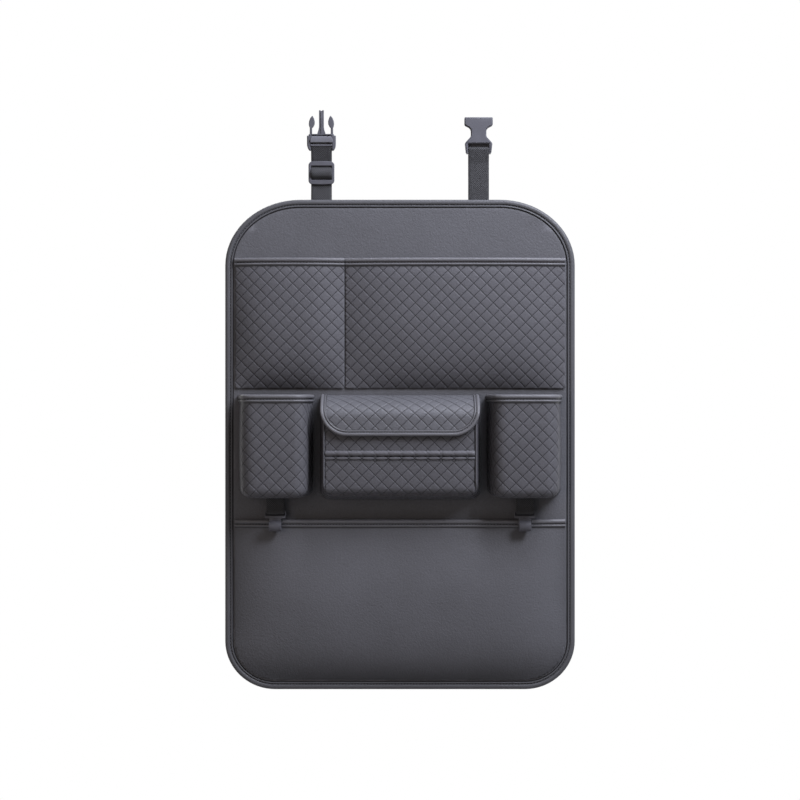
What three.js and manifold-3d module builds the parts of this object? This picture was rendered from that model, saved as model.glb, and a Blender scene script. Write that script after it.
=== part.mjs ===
import * as THREE from "three";
import { mergeVertices } from "three/addons/utils/BufferGeometryUtils.js";
import Module from "manifold-3d";

// A car seat back organizer: a flat leather panel with pockets and pouches, hung by two buckle straps.
// Millimetres. X runs to the viewer's right, +Z up, and +Y back towards the seat that it hangs on.
// "Front" distances are measured from the back of the panel towards the viewer, along -Y.

// Panel
const panelWidth = 420;
const panelHeight = 588;
const topCornerWidth = 90;
const topCornerHeight = 79;
const bottomCornerWidth = 60;
const bottomCornerHeight = 58;
const liningThickness = 0.8;
const boardThickness = 3;
const faceThickness = 1.8;
const boardMargin = 1.6;
const cornerSteps = 5;

// Edge binding and hems
const bindingWidth = 10.5;
const bindingThickness = 1.2;
const hemHeight = 10.5;
const hemThickness = 1;
const leatherThickness = 1.6;
const fitGap = 0.3;

// Quilting: grooves on a square lattice turned by 45 degrees, with the middle of each square raised
const quiltDiagonal = 15.5;
const quiltHeight = 0.8;

// Upper pockets, side by side below a plain field
const headerHeight = 70.2;
const upperPocketHeight = 156.6;
const leftPocketReach = 144;
const pocketMargin = 1.5;
const pocketMouthDepth = 8;
const pocketBellyDepth = 13;
const pocketSeam = 3;

// Cup pouches below them
const cupSideInset = 61.2;
const cupDrop = 7.2;
const cupHeight = 122;
const cupDepth = 50;
const cupBaseWidth = 87.6;
const cupTaper = 5.3;
const cupCornerRadius = 13;
const cupBottomRadius = 9;

// Tissue pouch between the cup pouches
const pouchSpacing = 9;
const tissueDrop = 4;
const tissueSideTaper = 6;
const tissueBottomTaper = 8;
const tissueDepth = 46;
const tissueCornerRadius = 6;
const faceRecess = 1.5;
const lowerFaceHeight = 45.6;
const slitGap = 1.4;
const lipHeight = 4.2;
const lipProud = 1.2;

// Flap over the tissue pouch
const flapSideInset = 1.5;
const flapTopDrop = 1;
const flapBendHeight = 27;
const flapDropHeight = 21.2;
const flapThickness = 2;
const flapCornerRadius = 32;
const flapBindingWidth = 7;
const flapBindingThickness = 0.9;
const flapClearance = 1.6;
const magnetRadius = 5.5;
const magnetThickness = 1.2;

// Bottom pocket across the whole width
const bottomPocketDrop = 27.4;
const bottomPocketMouthDepth = 8;
const bottomPocketBellyDepth = 15;

// Webbing straps, sewn to the panel's back
const webbingWidth = 25;
const webbingThickness = 1.2;
const webbingPlay = 0.6;
const strapSideInset = 115.5;
const strapSewnLength = 48;
const strapLoopLength = 32;
const webBarSize = 3.6;
const buckleThickness = 8;
const barThickness = 2.4;

// Male half of the buckle, with its heights measured from its webbing bar or its body's top
const maleBarRise = 63.6;
const maleTail = 4.4;
const maleBodyHeight = 15.4;
const maleEarSize = 2.2;
const maleSideWidth = 4.2;
const maleSlotHeight = 3;
const maleRimWidth = 3.6;
const prongWidth = 5.8;
const prongLength = 29;
const prongThickness = 3.6;
const armLength = 22.3;
const armHeadLength = 14.8;
const armSpread = 13;
const armStemWidth = 3;
const armHeadWidth = 6.4;
const armHeadBulge = 0.4;
const armThickness = 4;

// Female half, with each height measured from the one before it, upwards from its webbing bar
const femaleBarRise = 60.4;
const femaleTail = 5.4;
const femaleWaistRise = 7.6;
const femaleFlareHeight = 8.4;
const neckHeight = 8.4;
const shoulderHeight = 5.6;
const femaleHeadHeight = 8.8;
const neckWidth = 18.5;
const femaleRimWidth = 1.9;
const socketPlay = 0.6;
const socketWall = 1.5;

// Strap adjuster
const glideRise = 32.6;
const glideSideWidth = 2.5;
const glideLength = 26.8;
const glideBarWidth = 4.6;
const glideCorner = 3.5;
const glideArch = 1.2;

// Bag hooks on webbing loops under the cup pouches
const tabWidth = 21;
const hookStandoff = 2.8;
const hookDrop = 18.5;
const hookBarRadius = 1.5;
const hookRunningGap = 0.5;
const hookSideWidth = 1.5;
const hookFrameLength = 7.5;
const hookWidth = 14.7;
const hookThickness = 2.8;
const hookMouth = 7;
const hookTipDrop = 1.5;
const hookLength = 16;

// Places worked out from the sizes above
const halfWidth = panelWidth / 2;
const halfHeight = panelHeight / 2;
const edgeBack = bindingThickness;
const edgeMiddle = edgeBack + liningThickness;
const edgeFront = edgeMiddle + faceThickness;
const bindingDepth = edgeFront + bindingThickness;
const boardInset = bindingWidth + 2 * fitGap + boardMargin;
const boardFront = liningThickness + boardThickness;
const panelFront = boardFront + faceThickness;
const pocketSideInset = bindingWidth + pocketMargin;
const pocketSide = halfWidth - pocketSideInset;
const hemLift = hemThickness + 2 * fitGap;

const upperPocketTop = halfHeight - headerHeight;
const upperPocketBottom = upperPocketTop - upperPocketHeight;
const pocketDivide = leftPocketReach - halfWidth;
const cupCentre = halfWidth - cupSideInset;
const cupTop = upperPocketBottom - cupDrop;
const cupBottom = cupTop - cupHeight;
const cupFrontWidth = cupBaseWidth - 2 * cupTaper;
const tissueBaseWidth = 2 * cupCentre - cupBaseWidth - 2 * pouchSpacing;
const tissueFrontWidth = tissueBaseWidth - 2 * tissueSideTaper;
const tissueBaseBottom = cupBottom - tissueDrop;
const tissueFrontBottom = tissueBaseBottom + tissueBottomTaper;
const slitHeight = tissueFrontBottom + lowerFaceHeight;
const flapWidth = tissueBaseWidth - 2 * flapSideInset;
const flapTop = cupTop - flapTopDrop;
const flapBendBottom = flapTop - flapBendHeight;
const flapBottom = flapBendBottom - flapDropHeight;
const bottomPocketTop = cupBottom - bottomPocketDrop;

const strapCentre = halfWidth - strapSideInset;
const strapFront = -webbingThickness / 2;
const webWindow = webbingWidth + 2 * webbingPlay;
const glideHeight = halfHeight + glideRise;
const glideWidth = webWindow + 2 * glideSideWidth;
const maleBarHeight = halfHeight + maleBarRise;
const maleBottom = maleBarHeight - maleTail;
const maleTop = maleBarHeight + maleBodyHeight;
const maleWidth = webWindow + 2 * maleSideWidth;
const prongTop = maleTop + prongLength;
const armTop = maleTop + armLength;
const armHeadBottom = armTop - armHeadLength;
const femaleBarHeight = halfHeight + femaleBarRise;
const femaleBottom = femaleBarHeight - femaleTail;
const femaleWaist = femaleBarHeight + femaleWaistRise;
const neckBottom = femaleWaist + femaleFlareHeight;
const neckTop = neckBottom + neckHeight;
const femaleShoulder = neckTop + shoulderHeight;
const femaleTop = femaleShoulder + femaleHeadHeight;
const femaleBottomWidth = webWindow + 2 * femaleRimWidth;
const socketWidth = 2 * (armSpread + armStemWidth / 2 + armHeadBulge + socketPlay);
const socketThickness = armThickness + 2 * socketPlay;
const femaleWidth = socketWidth + 2 * socketWall;

const tabFront = panelFront + leatherThickness + hemLift + bottomPocketMouthDepth + hookStandoff;
const hookAxisHeight = cupBottom - hookDrop;
const hookFrameBottom = hookAxisHeight - hookFrameLength;
const hookTipTop = hookFrameBottom - hookTipDrop;
const hookBottom = hookFrameBottom - hookLength;

const wasm = await Module();
wasm.setup();

// Closed mesh to manifold solid, turned outwards if it was wound inwards
function solidFrom(geometry) {
  const bare = geometry.clone();
  bare.deleteAttribute("normal");
  bare.deleteAttribute("uv");
  const merged = mergeVertices(bare, 1e-4);
  const vertProperties = merged.attributes.position.array;
  const triVerts = new Uint32Array(merged.index.array);
  const made = new wasm.Manifold(new wasm.Mesh({ numProp: 3, vertProperties, triVerts }));
  if (made.volume() > 0) return made;
  return new wasm.Manifold(new wasm.Mesh({ numProp: 3, vertProperties, triVerts: triVerts.reverse() }));
}

function geometryFrom(solid) {
  const mesh = solid.getMesh();
  const geometry = new THREE.BufferGeometry();
  geometry.setAttribute("position", new THREE.BufferAttribute(Float32Array.from(mesh.vertProperties), 3));
  geometry.setIndex(new THREE.BufferAttribute(Uint32Array.from(mesh.triVerts), 1));
  geometry.computeVertexNormals();
  return geometry;
}

// Outline made of a half drawn from its top down, and its mirror image
function mirrored(half) {
  const other = half.map((point) => new THREE.Vector2(-point.x, point.y)).reverse();
  return [...half, ...other];
}

// Point at a distance in front of the panel's back
function at(x, front, z) {
  return new THREE.Vector3(x, -front, z);
}

function geometryOf(points, triangles) {
  const geometry = new THREE.BufferGeometry().setFromPoints(points);
  geometry.setIndex(triangles);
  return geometry;
}

function shapeOf(outline) {
  return outline instanceof THREE.Shape ? outline : new THREE.Shape(outline);
}

// Solid of an outline in X and Z between two front distances, with its rims bevelled if asked
function plate(outline, back, front, bevel = 0) {
  const settings = { depth: front - back - 2 * bevel, curveSegments: 4, bevelEnabled: bevel > 0 };
  const rim = { bevelThickness: bevel, bevelSize: bevel, bevelOffset: -bevel, bevelSegments: 1 };
  const geometry = new THREE.ExtrudeGeometry(shapeOf(outline), { ...settings, ...rim });
  return solidFrom(geometry.rotateX(Math.PI / 2).translate(0, -back - bevel, 0));
}

// Solid of an outline in front distance and Z, extruded across X about its middle
function sideways(outline, width) {
  const settings = { depth: width, curveSegments: 4, bevelEnabled: false };
  const geometry = new THREE.ExtrudeGeometry(shapeOf(outline), settings);
  const acrossX = new THREE.Matrix4().set(0, 0, 1, -width / 2, -1, 0, 0, 0, 0, 1, 0, 0, 0, 0, 0, 1);
  return solidFrom(geometry.applyMatrix4(acrossX));
}

// Box about the middle of X
function box(width, back, front, bottom, top) {
  const geometry = new THREE.BoxGeometry(width, front - back, top - bottom);
  return solidFrom(geometry.translate(0, -(front + back) / 2, (top + bottom) / 2));
}

// Two triangles for each square of a grid, split along the grooves of the quilting
function gridTriangles(columns, rows) {
  const triangles = [];
  for (let row = 0; row < rows; row++) {
    for (let column = 0; column < columns; column++) {
      const a = row * (columns + 1) + column;
      const b = a + 1;
      const c = a + columns + 1;
      const d = c + 1;
      if ((row + column) % 2 === 0) triangles.push(a, b, d, a, d, c);
      else triangles.push(a, b, c, b, d, c);
    }
  }
  return triangles;
}

// How far the quilting raises one point of a grid, which is flat down to a first row and along its border
function quiltRise(column, row, columns, rows, firstRow = 0) {
  const across = column > 0 && column < columns;
  const down = row > firstRow && row < rows;
  return across && down && (column + row) % 2 === 1 ? quiltHeight : 0;
}

// Number of lattice steps along a length, even so that the pattern is the same on both sides
function quiltSteps(length) {
  return 2 * Math.max(1, Math.round(length / quiltDiagonal));
}

// Triangles that fill an outline, wound the way that it runs
function capTriangles(outline) {
  const faces = THREE.ShapeUtils.triangulateShape(outline, []);
  const areaOf = (face) => THREE.ShapeUtils.area(face.map((index) => outline[index]));
  const total = faces.reduce((sum, face) => sum + areaOf(face), 0);
  const turned = total < 0 !== THREE.ShapeUtils.isClockWise(outline);
  return turned ? faces.map((face) => [...face].reverse()) : faces;
}

// Indices of a grid's border, in order round it
function borderOf(columns, rows) {
  const border = [];
  for (let column = 0; column < columns; column++) border.push(column);
  for (let row = 0; row < rows; row++) border.push(row * (columns + 1) + columns);
  for (let column = columns; column > 0; column--) border.push(rows * (columns + 1) + column);
  for (let row = rows; row > 0; row--) border.push(row * (columns + 1));
  return border;
}

function gridPoints(columns, rows, pointAt) {
  const points = [];
  for (let row = 0; row <= rows; row++) {
    for (let column = 0; column <= columns; column++) points.push(pointAt(column, row));
  }
  return points;
}

// Walls that join a border to its copy, which starts at a later index
function wallTriangles(border, copyOf) {
  const triangles = [];
  border.forEach((index, step) => {
    const next = border[(step + 1) % border.length];
    triangles.push(index, copyOf(step, index), next);
    triangles.push(next, copyOf(step, index), copyOf((step + 1) % border.length, next));
  });
  return triangles;
}

// Solid under a grid of points, down to a flat back
function domed(columns, rows, pointAt, back) {
  const points = gridPoints(columns, rows, pointAt);
  const triangles = gridTriangles(columns, rows);
  const border = borderOf(columns, rows);
  const first = points.length;
  for (const index of border) points.push(at(points[index].x, back, points[index].z));
  triangles.push(...wallTriangles(border, (step) => first + step));
  const flat = border.map((index) => new THREE.Vector2(points[index].x, points[index].z));
  for (const [a, b, c] of capTriangles(flat)) triangles.push(first + c, first + b, first + a);
  return solidFrom(geometryOf(points, triangles));
}

// Solid inside rows of points, closed across the back of each row and at both ends, where a row lies
// level or upright
function wrapped(rowPoints) {
  const columns = rowPoints[0].length - 1;
  const rows = rowPoints.length - 1;
  const triangles = gridTriangles(columns, rows);
  for (let row = 0; row < rows; row++) {
    const first = row * (columns + 1);
    const last = first + columns;
    const below = columns + 1;
    triangles.push(last + below, last, first, last + below, first, first + below);
  }
  const planOf = (points) => points.map((point) => new THREE.Vector2(point.x, point.y + point.z));
  const bottom = rows * (columns + 1);
  for (const [a, b, c] of capTriangles(planOf(rowPoints[0]))) triangles.push(c, b, a);
  for (const [a, b, c] of capTriangles(planOf(rowPoints[rows]))) {
    triangles.push(bottom + a, bottom + b, bottom + c);
  }
  return solidFrom(geometryOf(rowPoints.flat(), triangles));
}

// Solid of one closed outline moved along its sections
function loft(sections, outline) {
  const count = outline.length;
  const last = (sections.length - 1) * count;
  const triangles = [];
  for (let start = 0; start < last; start += count) {
    for (let index = 0; index < count; index++) {
      const a = start + index;
      const b = start + ((index + 1) % count);
      triangles.push(a, b, a + count, b, b + count, a + count);
    }
  }
  for (const [a, b, c] of capTriangles(outline)) triangles.push(c, b, a, last + a, last + b, last + c);
  return solidFrom(geometryOf(sections.flat(), triangles));
}

// Solid between closed loops of points, each joined to the next and the last to the first
function ringOf(loops) {
  const count = loops[0].length;
  const triangles = [];
  loops.forEach((loop, step) => {
    const here = step * count;
    const there = ((step + 1) % loops.length) * count;
    for (let index = 0; index < count; index++) {
      const after = (index + 1) % count;
      triangles.push(here + index, here + after, there + index);
      triangles.push(here + after, there + after, there + index);
    }
  });
  return solidFrom(geometryOf(loops.flat(), triangles));
}

// Leather, fabric, plastic and metal of the pieces, with their colours
function material(color, roughness, metalness = 0) {
  return new THREE.MeshStandardMaterial({ color, roughness, metalness });
}

const looks = {
  leather: () => material(0x48484d, 0.55),
  quilted: () => material(0x46464b, 0.6),
  binding: () => material(0x3f3f44, 0.5),
  lining: () => material(0x2b2b2d, 0.9),
  board: () => material(0x8d8a84, 0.8),
  webbing: () => material(0x2e2e31, 0.85),
  plastic: () => material(0x35353a, 0.45),
  magnet: () => material(0x9a9ca0, 0.35, 1),
};

function piece(name, solid, look) {
  const mesh = new THREE.Mesh(geometryFrom(solid), looks[look]());
  mesh.name = name;
  return mesh;
}

// Panel: lining, stiffening board and face leather, whose edges come together inside the binding

const cornerData = [
  { side: 1, end: 1, width: topCornerWidth, height: topCornerHeight },
  { side: -1, end: 1, width: topCornerWidth, height: topCornerHeight },
  { side: -1, end: -1, width: bottomCornerWidth, height: bottomCornerHeight },
  { side: 1, end: -1, width: bottomCornerWidth, height: bottomCornerHeight },
];

// Outline of the panel, moved in from its edge
function panelOutline(inset) {
  const points = [];
  cornerData.forEach((corner, quarter) => {
    const x = corner.side * (halfWidth - corner.width);
    const z = corner.end * (halfHeight - corner.height);
    for (let step = 0; step <= cornerSteps; step++) {
      const angle = (quarter + step / cornerSteps) * (Math.PI / 2);
      const across = (corner.width - inset) * Math.cos(angle);
      const up = (corner.height - inset) * Math.sin(angle);
      points.push(new THREE.Vector2(x + across, z + up));
    }
  });
  return points;
}

const edgeInset = bindingThickness + fitGap;
const stepInset = bindingWidth + 2 * fitGap;

// Room for one leg of the binding, round the edge of a sheet between two front distances
function bindingRoom(back, front) {
  return plate(panelOutline(0), back, front).subtract(plate(panelOutline(stepInset), back, front));
}

// The lining is pressed in a little under the sewn ends of the straps
function makeLining() {
  const whole = plate(panelOutline(edgeInset), 0, edgeMiddle);
  const forBoard = plate(panelOutline(boardInset), liningThickness, edgeMiddle + 1);
  const strapEnd = halfHeight - strapSewnLength - fitGap;
  const forStrap = box(webbingWidth + 2 * fitGap, -1, fitGap, strapEnd, halfHeight);
  const forStraps = forStrap.translate(-strapCentre, 0, 0).add(forStrap.translate(strapCentre, 0, 0));
  return whole.subtract(bindingRoom(-1, edgeBack)).subtract(forBoard).subtract(forStraps);
}

function makeBoard() {
  return plate(panelOutline(boardInset + fitGap), liningThickness, boardFront);
}

function makeFace() {
  const whole = plate(panelOutline(edgeInset), edgeMiddle, panelFront);
  const forBoard = plate(panelOutline(boardInset), edgeMiddle - 1, boardFront);
  return whole.subtract(bindingRoom(edgeFront, panelFront + 1)).subtract(forBoard);
}

// U-shaped binding folded over the edge, with a rounded nose
function makeBinding() {
  const middle = bindingDepth / 2;
  const nose = [];
  for (let step = 0; step <= 4; step++) {
    const angle = (step / 4) * Math.PI;
    nose.push([middle * 0.8 * (1 - Math.sin(angle)), middle * (1 - Math.cos(angle))]);
  }
  const legs = [
    [bindingWidth, bindingDepth],
    [bindingWidth, edgeFront],
    [bindingThickness, edgeFront],
    [bindingThickness, edgeBack],
    [bindingWidth, edgeBack],
    [bindingWidth, 0],
  ];
  return ringOf([...nose, ...legs].map(([inset, front]) => {
    return panelOutline(inset).map((point) => at(point.x, front, point.y));
  }));
}

// Half width of the panel's inside at a height, between its rounded corners
function halfWidthAt(z, inset) {
  const top = z > 0;
  const width = (top ? topCornerWidth : bottomCornerWidth) - inset;
  const height = (top ? topCornerHeight : bottomCornerHeight) - inset;
  const past = Math.abs(z) - (halfHeight - inset - height);
  const full = halfWidth - inset;
  if (past <= 0) return full;
  return full - width + width * Math.sqrt(Math.max(0, 1 - (past / height) ** 2));
}

// Section of a hem: a strip folded over the top of a sheet, as drop below the mouth and offset from the
// sheet's front face
function hemSection() {
  const front = fitGap + hemThickness;
  const back = -leatherThickness - fitGap - hemThickness;
  const middle = (front + back) / 2;
  const reach = (front - back) / 2;
  const section = [new THREE.Vector2(hemHeight, front)];
  for (let step = 0; step <= 4; step++) {
    const angle = (step / 4) * Math.PI;
    const drop = reach * (1 - Math.sin(angle));
    section.push(new THREE.Vector2(drop, middle + reach * Math.cos(angle)));
  }
  section.push(new THREE.Vector2(hemHeight, back));
  section.push(new THREE.Vector2(hemHeight, back + hemThickness));
  section.push(new THREE.Vector2(hemThickness, back + hemThickness));
  section.push(new THREE.Vector2(hemThickness, fitGap));
  section.push(new THREE.Vector2(hemHeight, fitGap));
  return section;
}

const sheetDrop = hemThickness + fitGap;

// Flat pockets: a padded sheet that bulges from the panel, with its mouth at the top

// Height of the bulge across a pocket, 0 at its sides and 1 in the middle
function pillow(across) {
  return 1 - (2 * across - 1) ** 4;
}

// The size and place of one pocket, and the shape of its sheet
function pocketOf({ left, right, top, bottom, mouthDepth, bellyDepth, rows, columns }) {
  const quiltTop = top - hemHeight;
  const rowHeight = (row) => {
    if (row === 0) return top - sheetDrop;
    return quiltTop - ((quiltTop - bottom) * (row - 1)) / (rows - 1);
  };
  const frontAt = (across, z) => {
    const down = Math.min(1, Math.max(0, (quiltTop - z) / (quiltTop - bottom)));
    const belly = mouthDepth + (bellyDepth - mouthDepth) * Math.sin(Math.PI * down);
    const lift = hemLift * Math.max(0, 1 - down * 6);
    return panelFront + leatherThickness + lift + belly * (1 - down ** 5) * pillow(across);
  };
  const xAt = (across, z) => left(z) + (right(z) - left(z)) * across;
  return { top, bottom, mouthDepth, rows, columns, rowHeight, frontAt, xAt, quiltTop };
}

// Sheet's front at the mouth, straight between every second column so that the hem fits it
function mouthFront(pocket, column) {
  const frontOf = (step) => pocket.frontAt(step / pocket.columns, pocket.quiltTop);
  if (column % 2 === 0) return frontOf(column);
  return (frontOf(column - 1) + frontOf(column + 1)) / 2;
}

function pocketSheet(pocket, quilted) {
  const { columns, rows } = pocket;
  const outer = domed(columns, rows, (column, row) => {
    const across = column / columns;
    const z = pocket.rowHeight(row);
    if (row <= 1) return at(pocket.xAt(across, z), mouthFront(pocket, column), z);
    const rise = quilted ? quiltRise(column, row, columns, rows, 1) : 0;
    return at(pocket.xAt(across, z), pocket.frontAt(across, z) + rise, z);
  }, panelFront);
  const stations = columns / 2;
  const behindHem = domed(stations, 1, (station, row) => {
    const z = row === 0 ? pocket.top : pocket.quiltTop - fitGap;
    const past = station === 0 ? -pocketSeam : station === stations ? pocketSeam : 0;
    const x = pocket.xAt(station / stations, z) + past;
    return at(x, mouthFront(pocket, 2 * station) - leatherThickness, z);
  }, panelFront - 1);
  const bellyBottom = pocket.bottom + pocketSeam;
  const belly = domed(8, 6, (column, row) => {
    const across = column / 8;
    const z = pocket.quiltTop - (pocket.quiltTop - bellyBottom) * (row / 6);
    const x = pocket.xAt(across, z) + pocketSeam * (1 - 2 * across);
    return at(x, pocket.frontAt(across, z) - leatherThickness, z);
  }, panelFront - 1);
  return outer.subtract(behindHem).subtract(belly);
}

function pocketHem(pocket) {
  const section = hemSection();
  const sections = [];
  for (let column = 0; column <= pocket.columns; column += 2) {
    const x = pocket.xAt(column / pocket.columns, pocket.top);
    const front = mouthFront(pocket, column);
    sections.push(section.map((point) => at(x, front + point.y, pocket.top - point.x)));
  }
  return loft(sections, section);
}

function upperPocket(left, right) {
  return pocketOf({
    left: () => left,
    right: () => right,
    top: upperPocketTop,
    bottom: upperPocketBottom,
    mouthDepth: pocketMouthDepth,
    bellyDepth: pocketBellyDepth,
    rows: quiltSteps(upperPocketTop - hemHeight - upperPocketBottom) + 1,
    columns: quiltSteps(right - left),
  });
}

const upperLeftPocket = upperPocket(-pocketSide, pocketDivide - fitGap);
const upperRightPocket = upperPocket(pocketDivide + fitGap, pocketSide);
const bottomPocket = pocketOf({
  left: (z) => -halfWidthAt(z, pocketSideInset),
  right: (z) => halfWidthAt(z, pocketSideInset),
  top: bottomPocketTop,
  bottom: pocketSideInset - halfHeight,
  mouthDepth: bottomPocketMouthDepth,
  bellyDepth: bottomPocketBellyDepth,
  rows: 12,
  columns: 12,
});

// Cup pouches: a quilted wall that bends round in plan, with a closed bottom and an open mouth

// Plan of the pouch wall from the left side round to the right, moved in and reaching back past the panel
function cupPlan(inset, columns, behind = 0) {
  const base = cupBaseWidth / 2 - inset;
  const front = cupFrontWidth / 2 - inset;
  const reach = panelFront + cupDepth - inset;
  const radius = Math.max(1, cupCornerRadius - inset);
  const plan = new THREE.Path();
  plan.moveTo(-base, panelFront - behind);
  plan.lineTo(-front, reach - radius);
  plan.quadraticCurveTo(-front, reach, radius - front, reach);
  plan.lineTo(front - radius, reach);
  plan.quadraticCurveTo(front, reach, front, reach - radius);
  plan.lineTo(base, panelFront - behind);
  return plan.getSpacedPoints(columns);
}

// Outward direction of the plan at one of its points
function planNormal(plan, index) {
  const before = plan[Math.max(0, index - 1)];
  const after = plan[Math.min(plan.length - 1, index + 1)];
  return new THREE.Vector2(before.y - after.y, after.x - before.x).normalize();
}

const cupColumns = quiltSteps(2 * cupDepth + cupFrontWidth - cupCornerRadius);
const cupRows = quiltSteps(cupTop - hemHeight - cupBottom - cupBottomRadius) + 1;
const cupBendRows = 2;

// Plan at the mouth, straight between every second column so that the hem fits it
function cupMouthPlan() {
  const plan = cupPlan(0, cupColumns);
  return plan.map((point, column) => {
    if (column % 2 === 0) return point;
    return plan[column - 1].clone().add(plan[column + 1]).multiplyScalar(0.5);
  });
}

// Every second point of the mouth's plan, moved outwards
function cupMouthStations(out) {
  const plan = cupMouthPlan().filter((point, column) => column % 2 === 0);
  return plan.map((point, station) => planNormal(plan, station).multiplyScalar(out).add(point));
}

// Plan and height of one row of the wall, which turns in at the bottom
function cupRow(row) {
  const quiltTop = cupTop - hemHeight;
  if (row === 0) return { plan: cupMouthPlan(), z: cupTop - sheetDrop };
  if (row === 1) return { plan: cupMouthPlan(), z: quiltTop };
  const straight = quiltTop - cupBottom - cupBottomRadius;
  const down = Math.min(1, (row - 1) / (cupRows - 1));
  const bend = (Math.max(0, row - cupRows) / cupBendRows) * (Math.PI / 2);
  const plan = cupPlan(cupBottomRadius * (1 - Math.cos(bend)), cupColumns);
  return { plan, z: quiltTop - straight * down - cupBottomRadius * Math.sin(bend) };
}

function cupSheet() {
  const rowPoints = [];
  for (let row = 0; row <= cupRows + cupBendRows; row++) {
    const { plan, z } = cupRow(row);
    rowPoints.push(plan.map((point, column) => {
      const rise = quiltRise(column, row, cupColumns, cupRows, 1);
      const out = planNormal(plan, column).multiplyScalar(rise);
      return at(point.x + out.x, point.y + out.y, z);
    }));
  }
  const behindHem = cupMouthStations(-leatherThickness);
  behindHem[0].y -= 1;
  behindHem[behindHem.length - 1].y -= 1;
  const columns = cupColumns / 2;
  const hollow = [
    [behindHem, cupTop],
    [behindHem, cupTop - hemHeight - fitGap],
    [cupPlan(leatherThickness, columns, 1), cupTop - hemHeight - 2 * fitGap],
    [cupPlan(leatherThickness, columns, 1), cupBottom + cupBottomRadius],
    [cupPlan(cupBottomRadius / 2, columns, 1), cupBottom + leatherThickness],
  ];
  const hollowRows = hollow.map(([plan, z]) => plan.map((point) => at(point.x, point.y, z)));
  return wrapped(rowPoints).subtract(wrapped(hollowRows));
}

function cupHem() {
  const section = hemSection();
  const loops = section.map((corner) => cupMouthStations(corner.y));
  const sections = loops[0].map((start, station) => {
    return section.map((corner, index) => {
      const point = loops[index][station];
      return at(point.x, point.y, cupTop - corner.x);
    });
  });
  return loft(sections, section).subtract(box(panelWidth, -panelFront, panelFront, cupBottom, cupTop + 1));
}

// Tissue pouch: a tapered gusset, a face in two parts with a slit between them, and a flap

const tissueRim = panelFront + tissueDepth;
const tissueFaceFront = tissueRim - faceRecess;
const tissueFaceBack = tissueFaceFront - leatherThickness;
const flapFront = tissueRim + flapClearance + flapThickness;

// Outline of the pouch's sides and bottom at a front distance, moved in
function tissueSection(front, inset) {
  const share = (front - panelFront) / tissueDepth;
  const half = (tissueBaseWidth + (tissueFrontWidth - tissueBaseWidth) * share) / 2 - inset;
  const bottom = tissueBaseBottom + (tissueFrontBottom - tissueBaseBottom) * share + inset;
  const radius = Math.max(0.5, tissueCornerRadius - inset);
  const rightSide = [new THREE.Vector2(half, flapTop)];
  for (let step = 0; step <= 3; step++) {
    const angle = (step / 3) * (Math.PI / 2);
    const inward = radius * (1 - Math.cos(angle));
    rightSide.push(new THREE.Vector2(half - inward, bottom + radius * (1 - Math.sin(angle))));
  }
  return mirrored(rightSide).reverse();
}

function tissueBlock(back, front, inset) {
  const sections = [back, front].map((distance) => {
    return tissueSection(distance, inset).map((point) => at(point.x, distance, point.y));
  });
  return loft(sections, tissueSection(back, inset));
}

// Side view of the flap's outer face from the panel down to its lower edge, moved in
function flapProfile(inset, steps) {
  const points = [];
  for (let step = 0; step <= steps; step++) {
    const angle = (step / steps) * (Math.PI / 2);
    const forward = (flapFront - panelFront - inset) * Math.sin(angle);
    const up = (flapBendHeight - inset) * Math.cos(angle);
    points.push(new THREE.Vector2(panelFront + forward, flapBendBottom + up));
  }
  return points;
}

function makeGusset() {
  const outer = tissueBlock(panelFront, tissueRim, 0);
  const inner = tissueBlock(panelFront - 1, tissueRim + 1, leatherThickness);
  const underFlap = flapProfile(flapThickness + flapClearance, 8);
  underFlap.push(new THREE.Vector2(tissueRim + 2, tissueBaseBottom - 1));
  underFlap.push(new THREE.Vector2(panelFront, tissueBaseBottom - 1));
  return outer.subtract(inner).intersect(sideways(underFlap, panelWidth));
}

const faceHalf = tissueFrontWidth / 2 - leatherThickness - fitGap;
const faceTop = flapBendBottom - flapClearance;
const faceBottom = tissueFrontBottom + leatherThickness + fitGap;
const upperLipBottom = slitHeight + slitGap / 2;
const lowerLipTop = slitHeight - slitGap / 2;

// Rolled leather lip along one side of the slit
function slitLip(bottom) {
  const lip = new THREE.Shape();
  const reach = lipHeight / 2;
  lip.moveTo(tissueFaceBack, bottom);
  lip.lineTo(tissueFaceFront, bottom);
  lip.absellipse(tissueFaceFront, bottom + reach, lipProud, reach, -Math.PI / 2, Math.PI / 2);
  lip.lineTo(tissueFaceBack, bottom + lipHeight);
  return sideways(lip, 2 * faceHalf);
}

// One part of the face with a quilted front between two heights
function faceSheet(bottom, top) {
  const columns = quiltSteps(2 * faceHalf);
  const rows = quiltSteps(top - bottom);
  return domed(columns, rows, (column, row) => {
    const x = faceHalf * (2 * (column / columns) - 1);
    const rise = quiltRise(column, row, columns, rows);
    return at(x, tissueFaceFront + rise, top - ((top - bottom) * row) / rows);
  }, tissueFaceBack);
}

function makeUpperFace() {
  return faceSheet(upperLipBottom + lipHeight, faceTop).add(slitLip(upperLipBottom));
}

function makeLowerFace() {
  const sheet = faceSheet(faceBottom, lowerLipTop - lipHeight).add(slitLip(lowerLipTop - lipHeight));
  return sheet.intersect(tissueBlock(tissueFaceBack - 1, tissueRim + 1, leatherThickness + fitGap));
}

// Front view of the flap, moved in from its edge, with rounded lower corners
function flapOutline(inset) {
  const half = flapWidth / 2 - inset;
  const bottom = flapBottom + inset;
  const radius = flapCornerRadius - inset;
  const outline = new THREE.Shape();
  outline.moveTo(half, flapTop + 10);
  outline.lineTo(-half, flapTop + 10);
  outline.lineTo(-half, bottom + radius);
  outline.absarc(radius - half, bottom + radius, radius, Math.PI, Math.PI * 1.5);
  outline.lineTo(half - radius, bottom);
  outline.absarc(half - radius, bottom + radius, radius, Math.PI * 1.5, Math.PI * 2);
  return outline;
}

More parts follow.
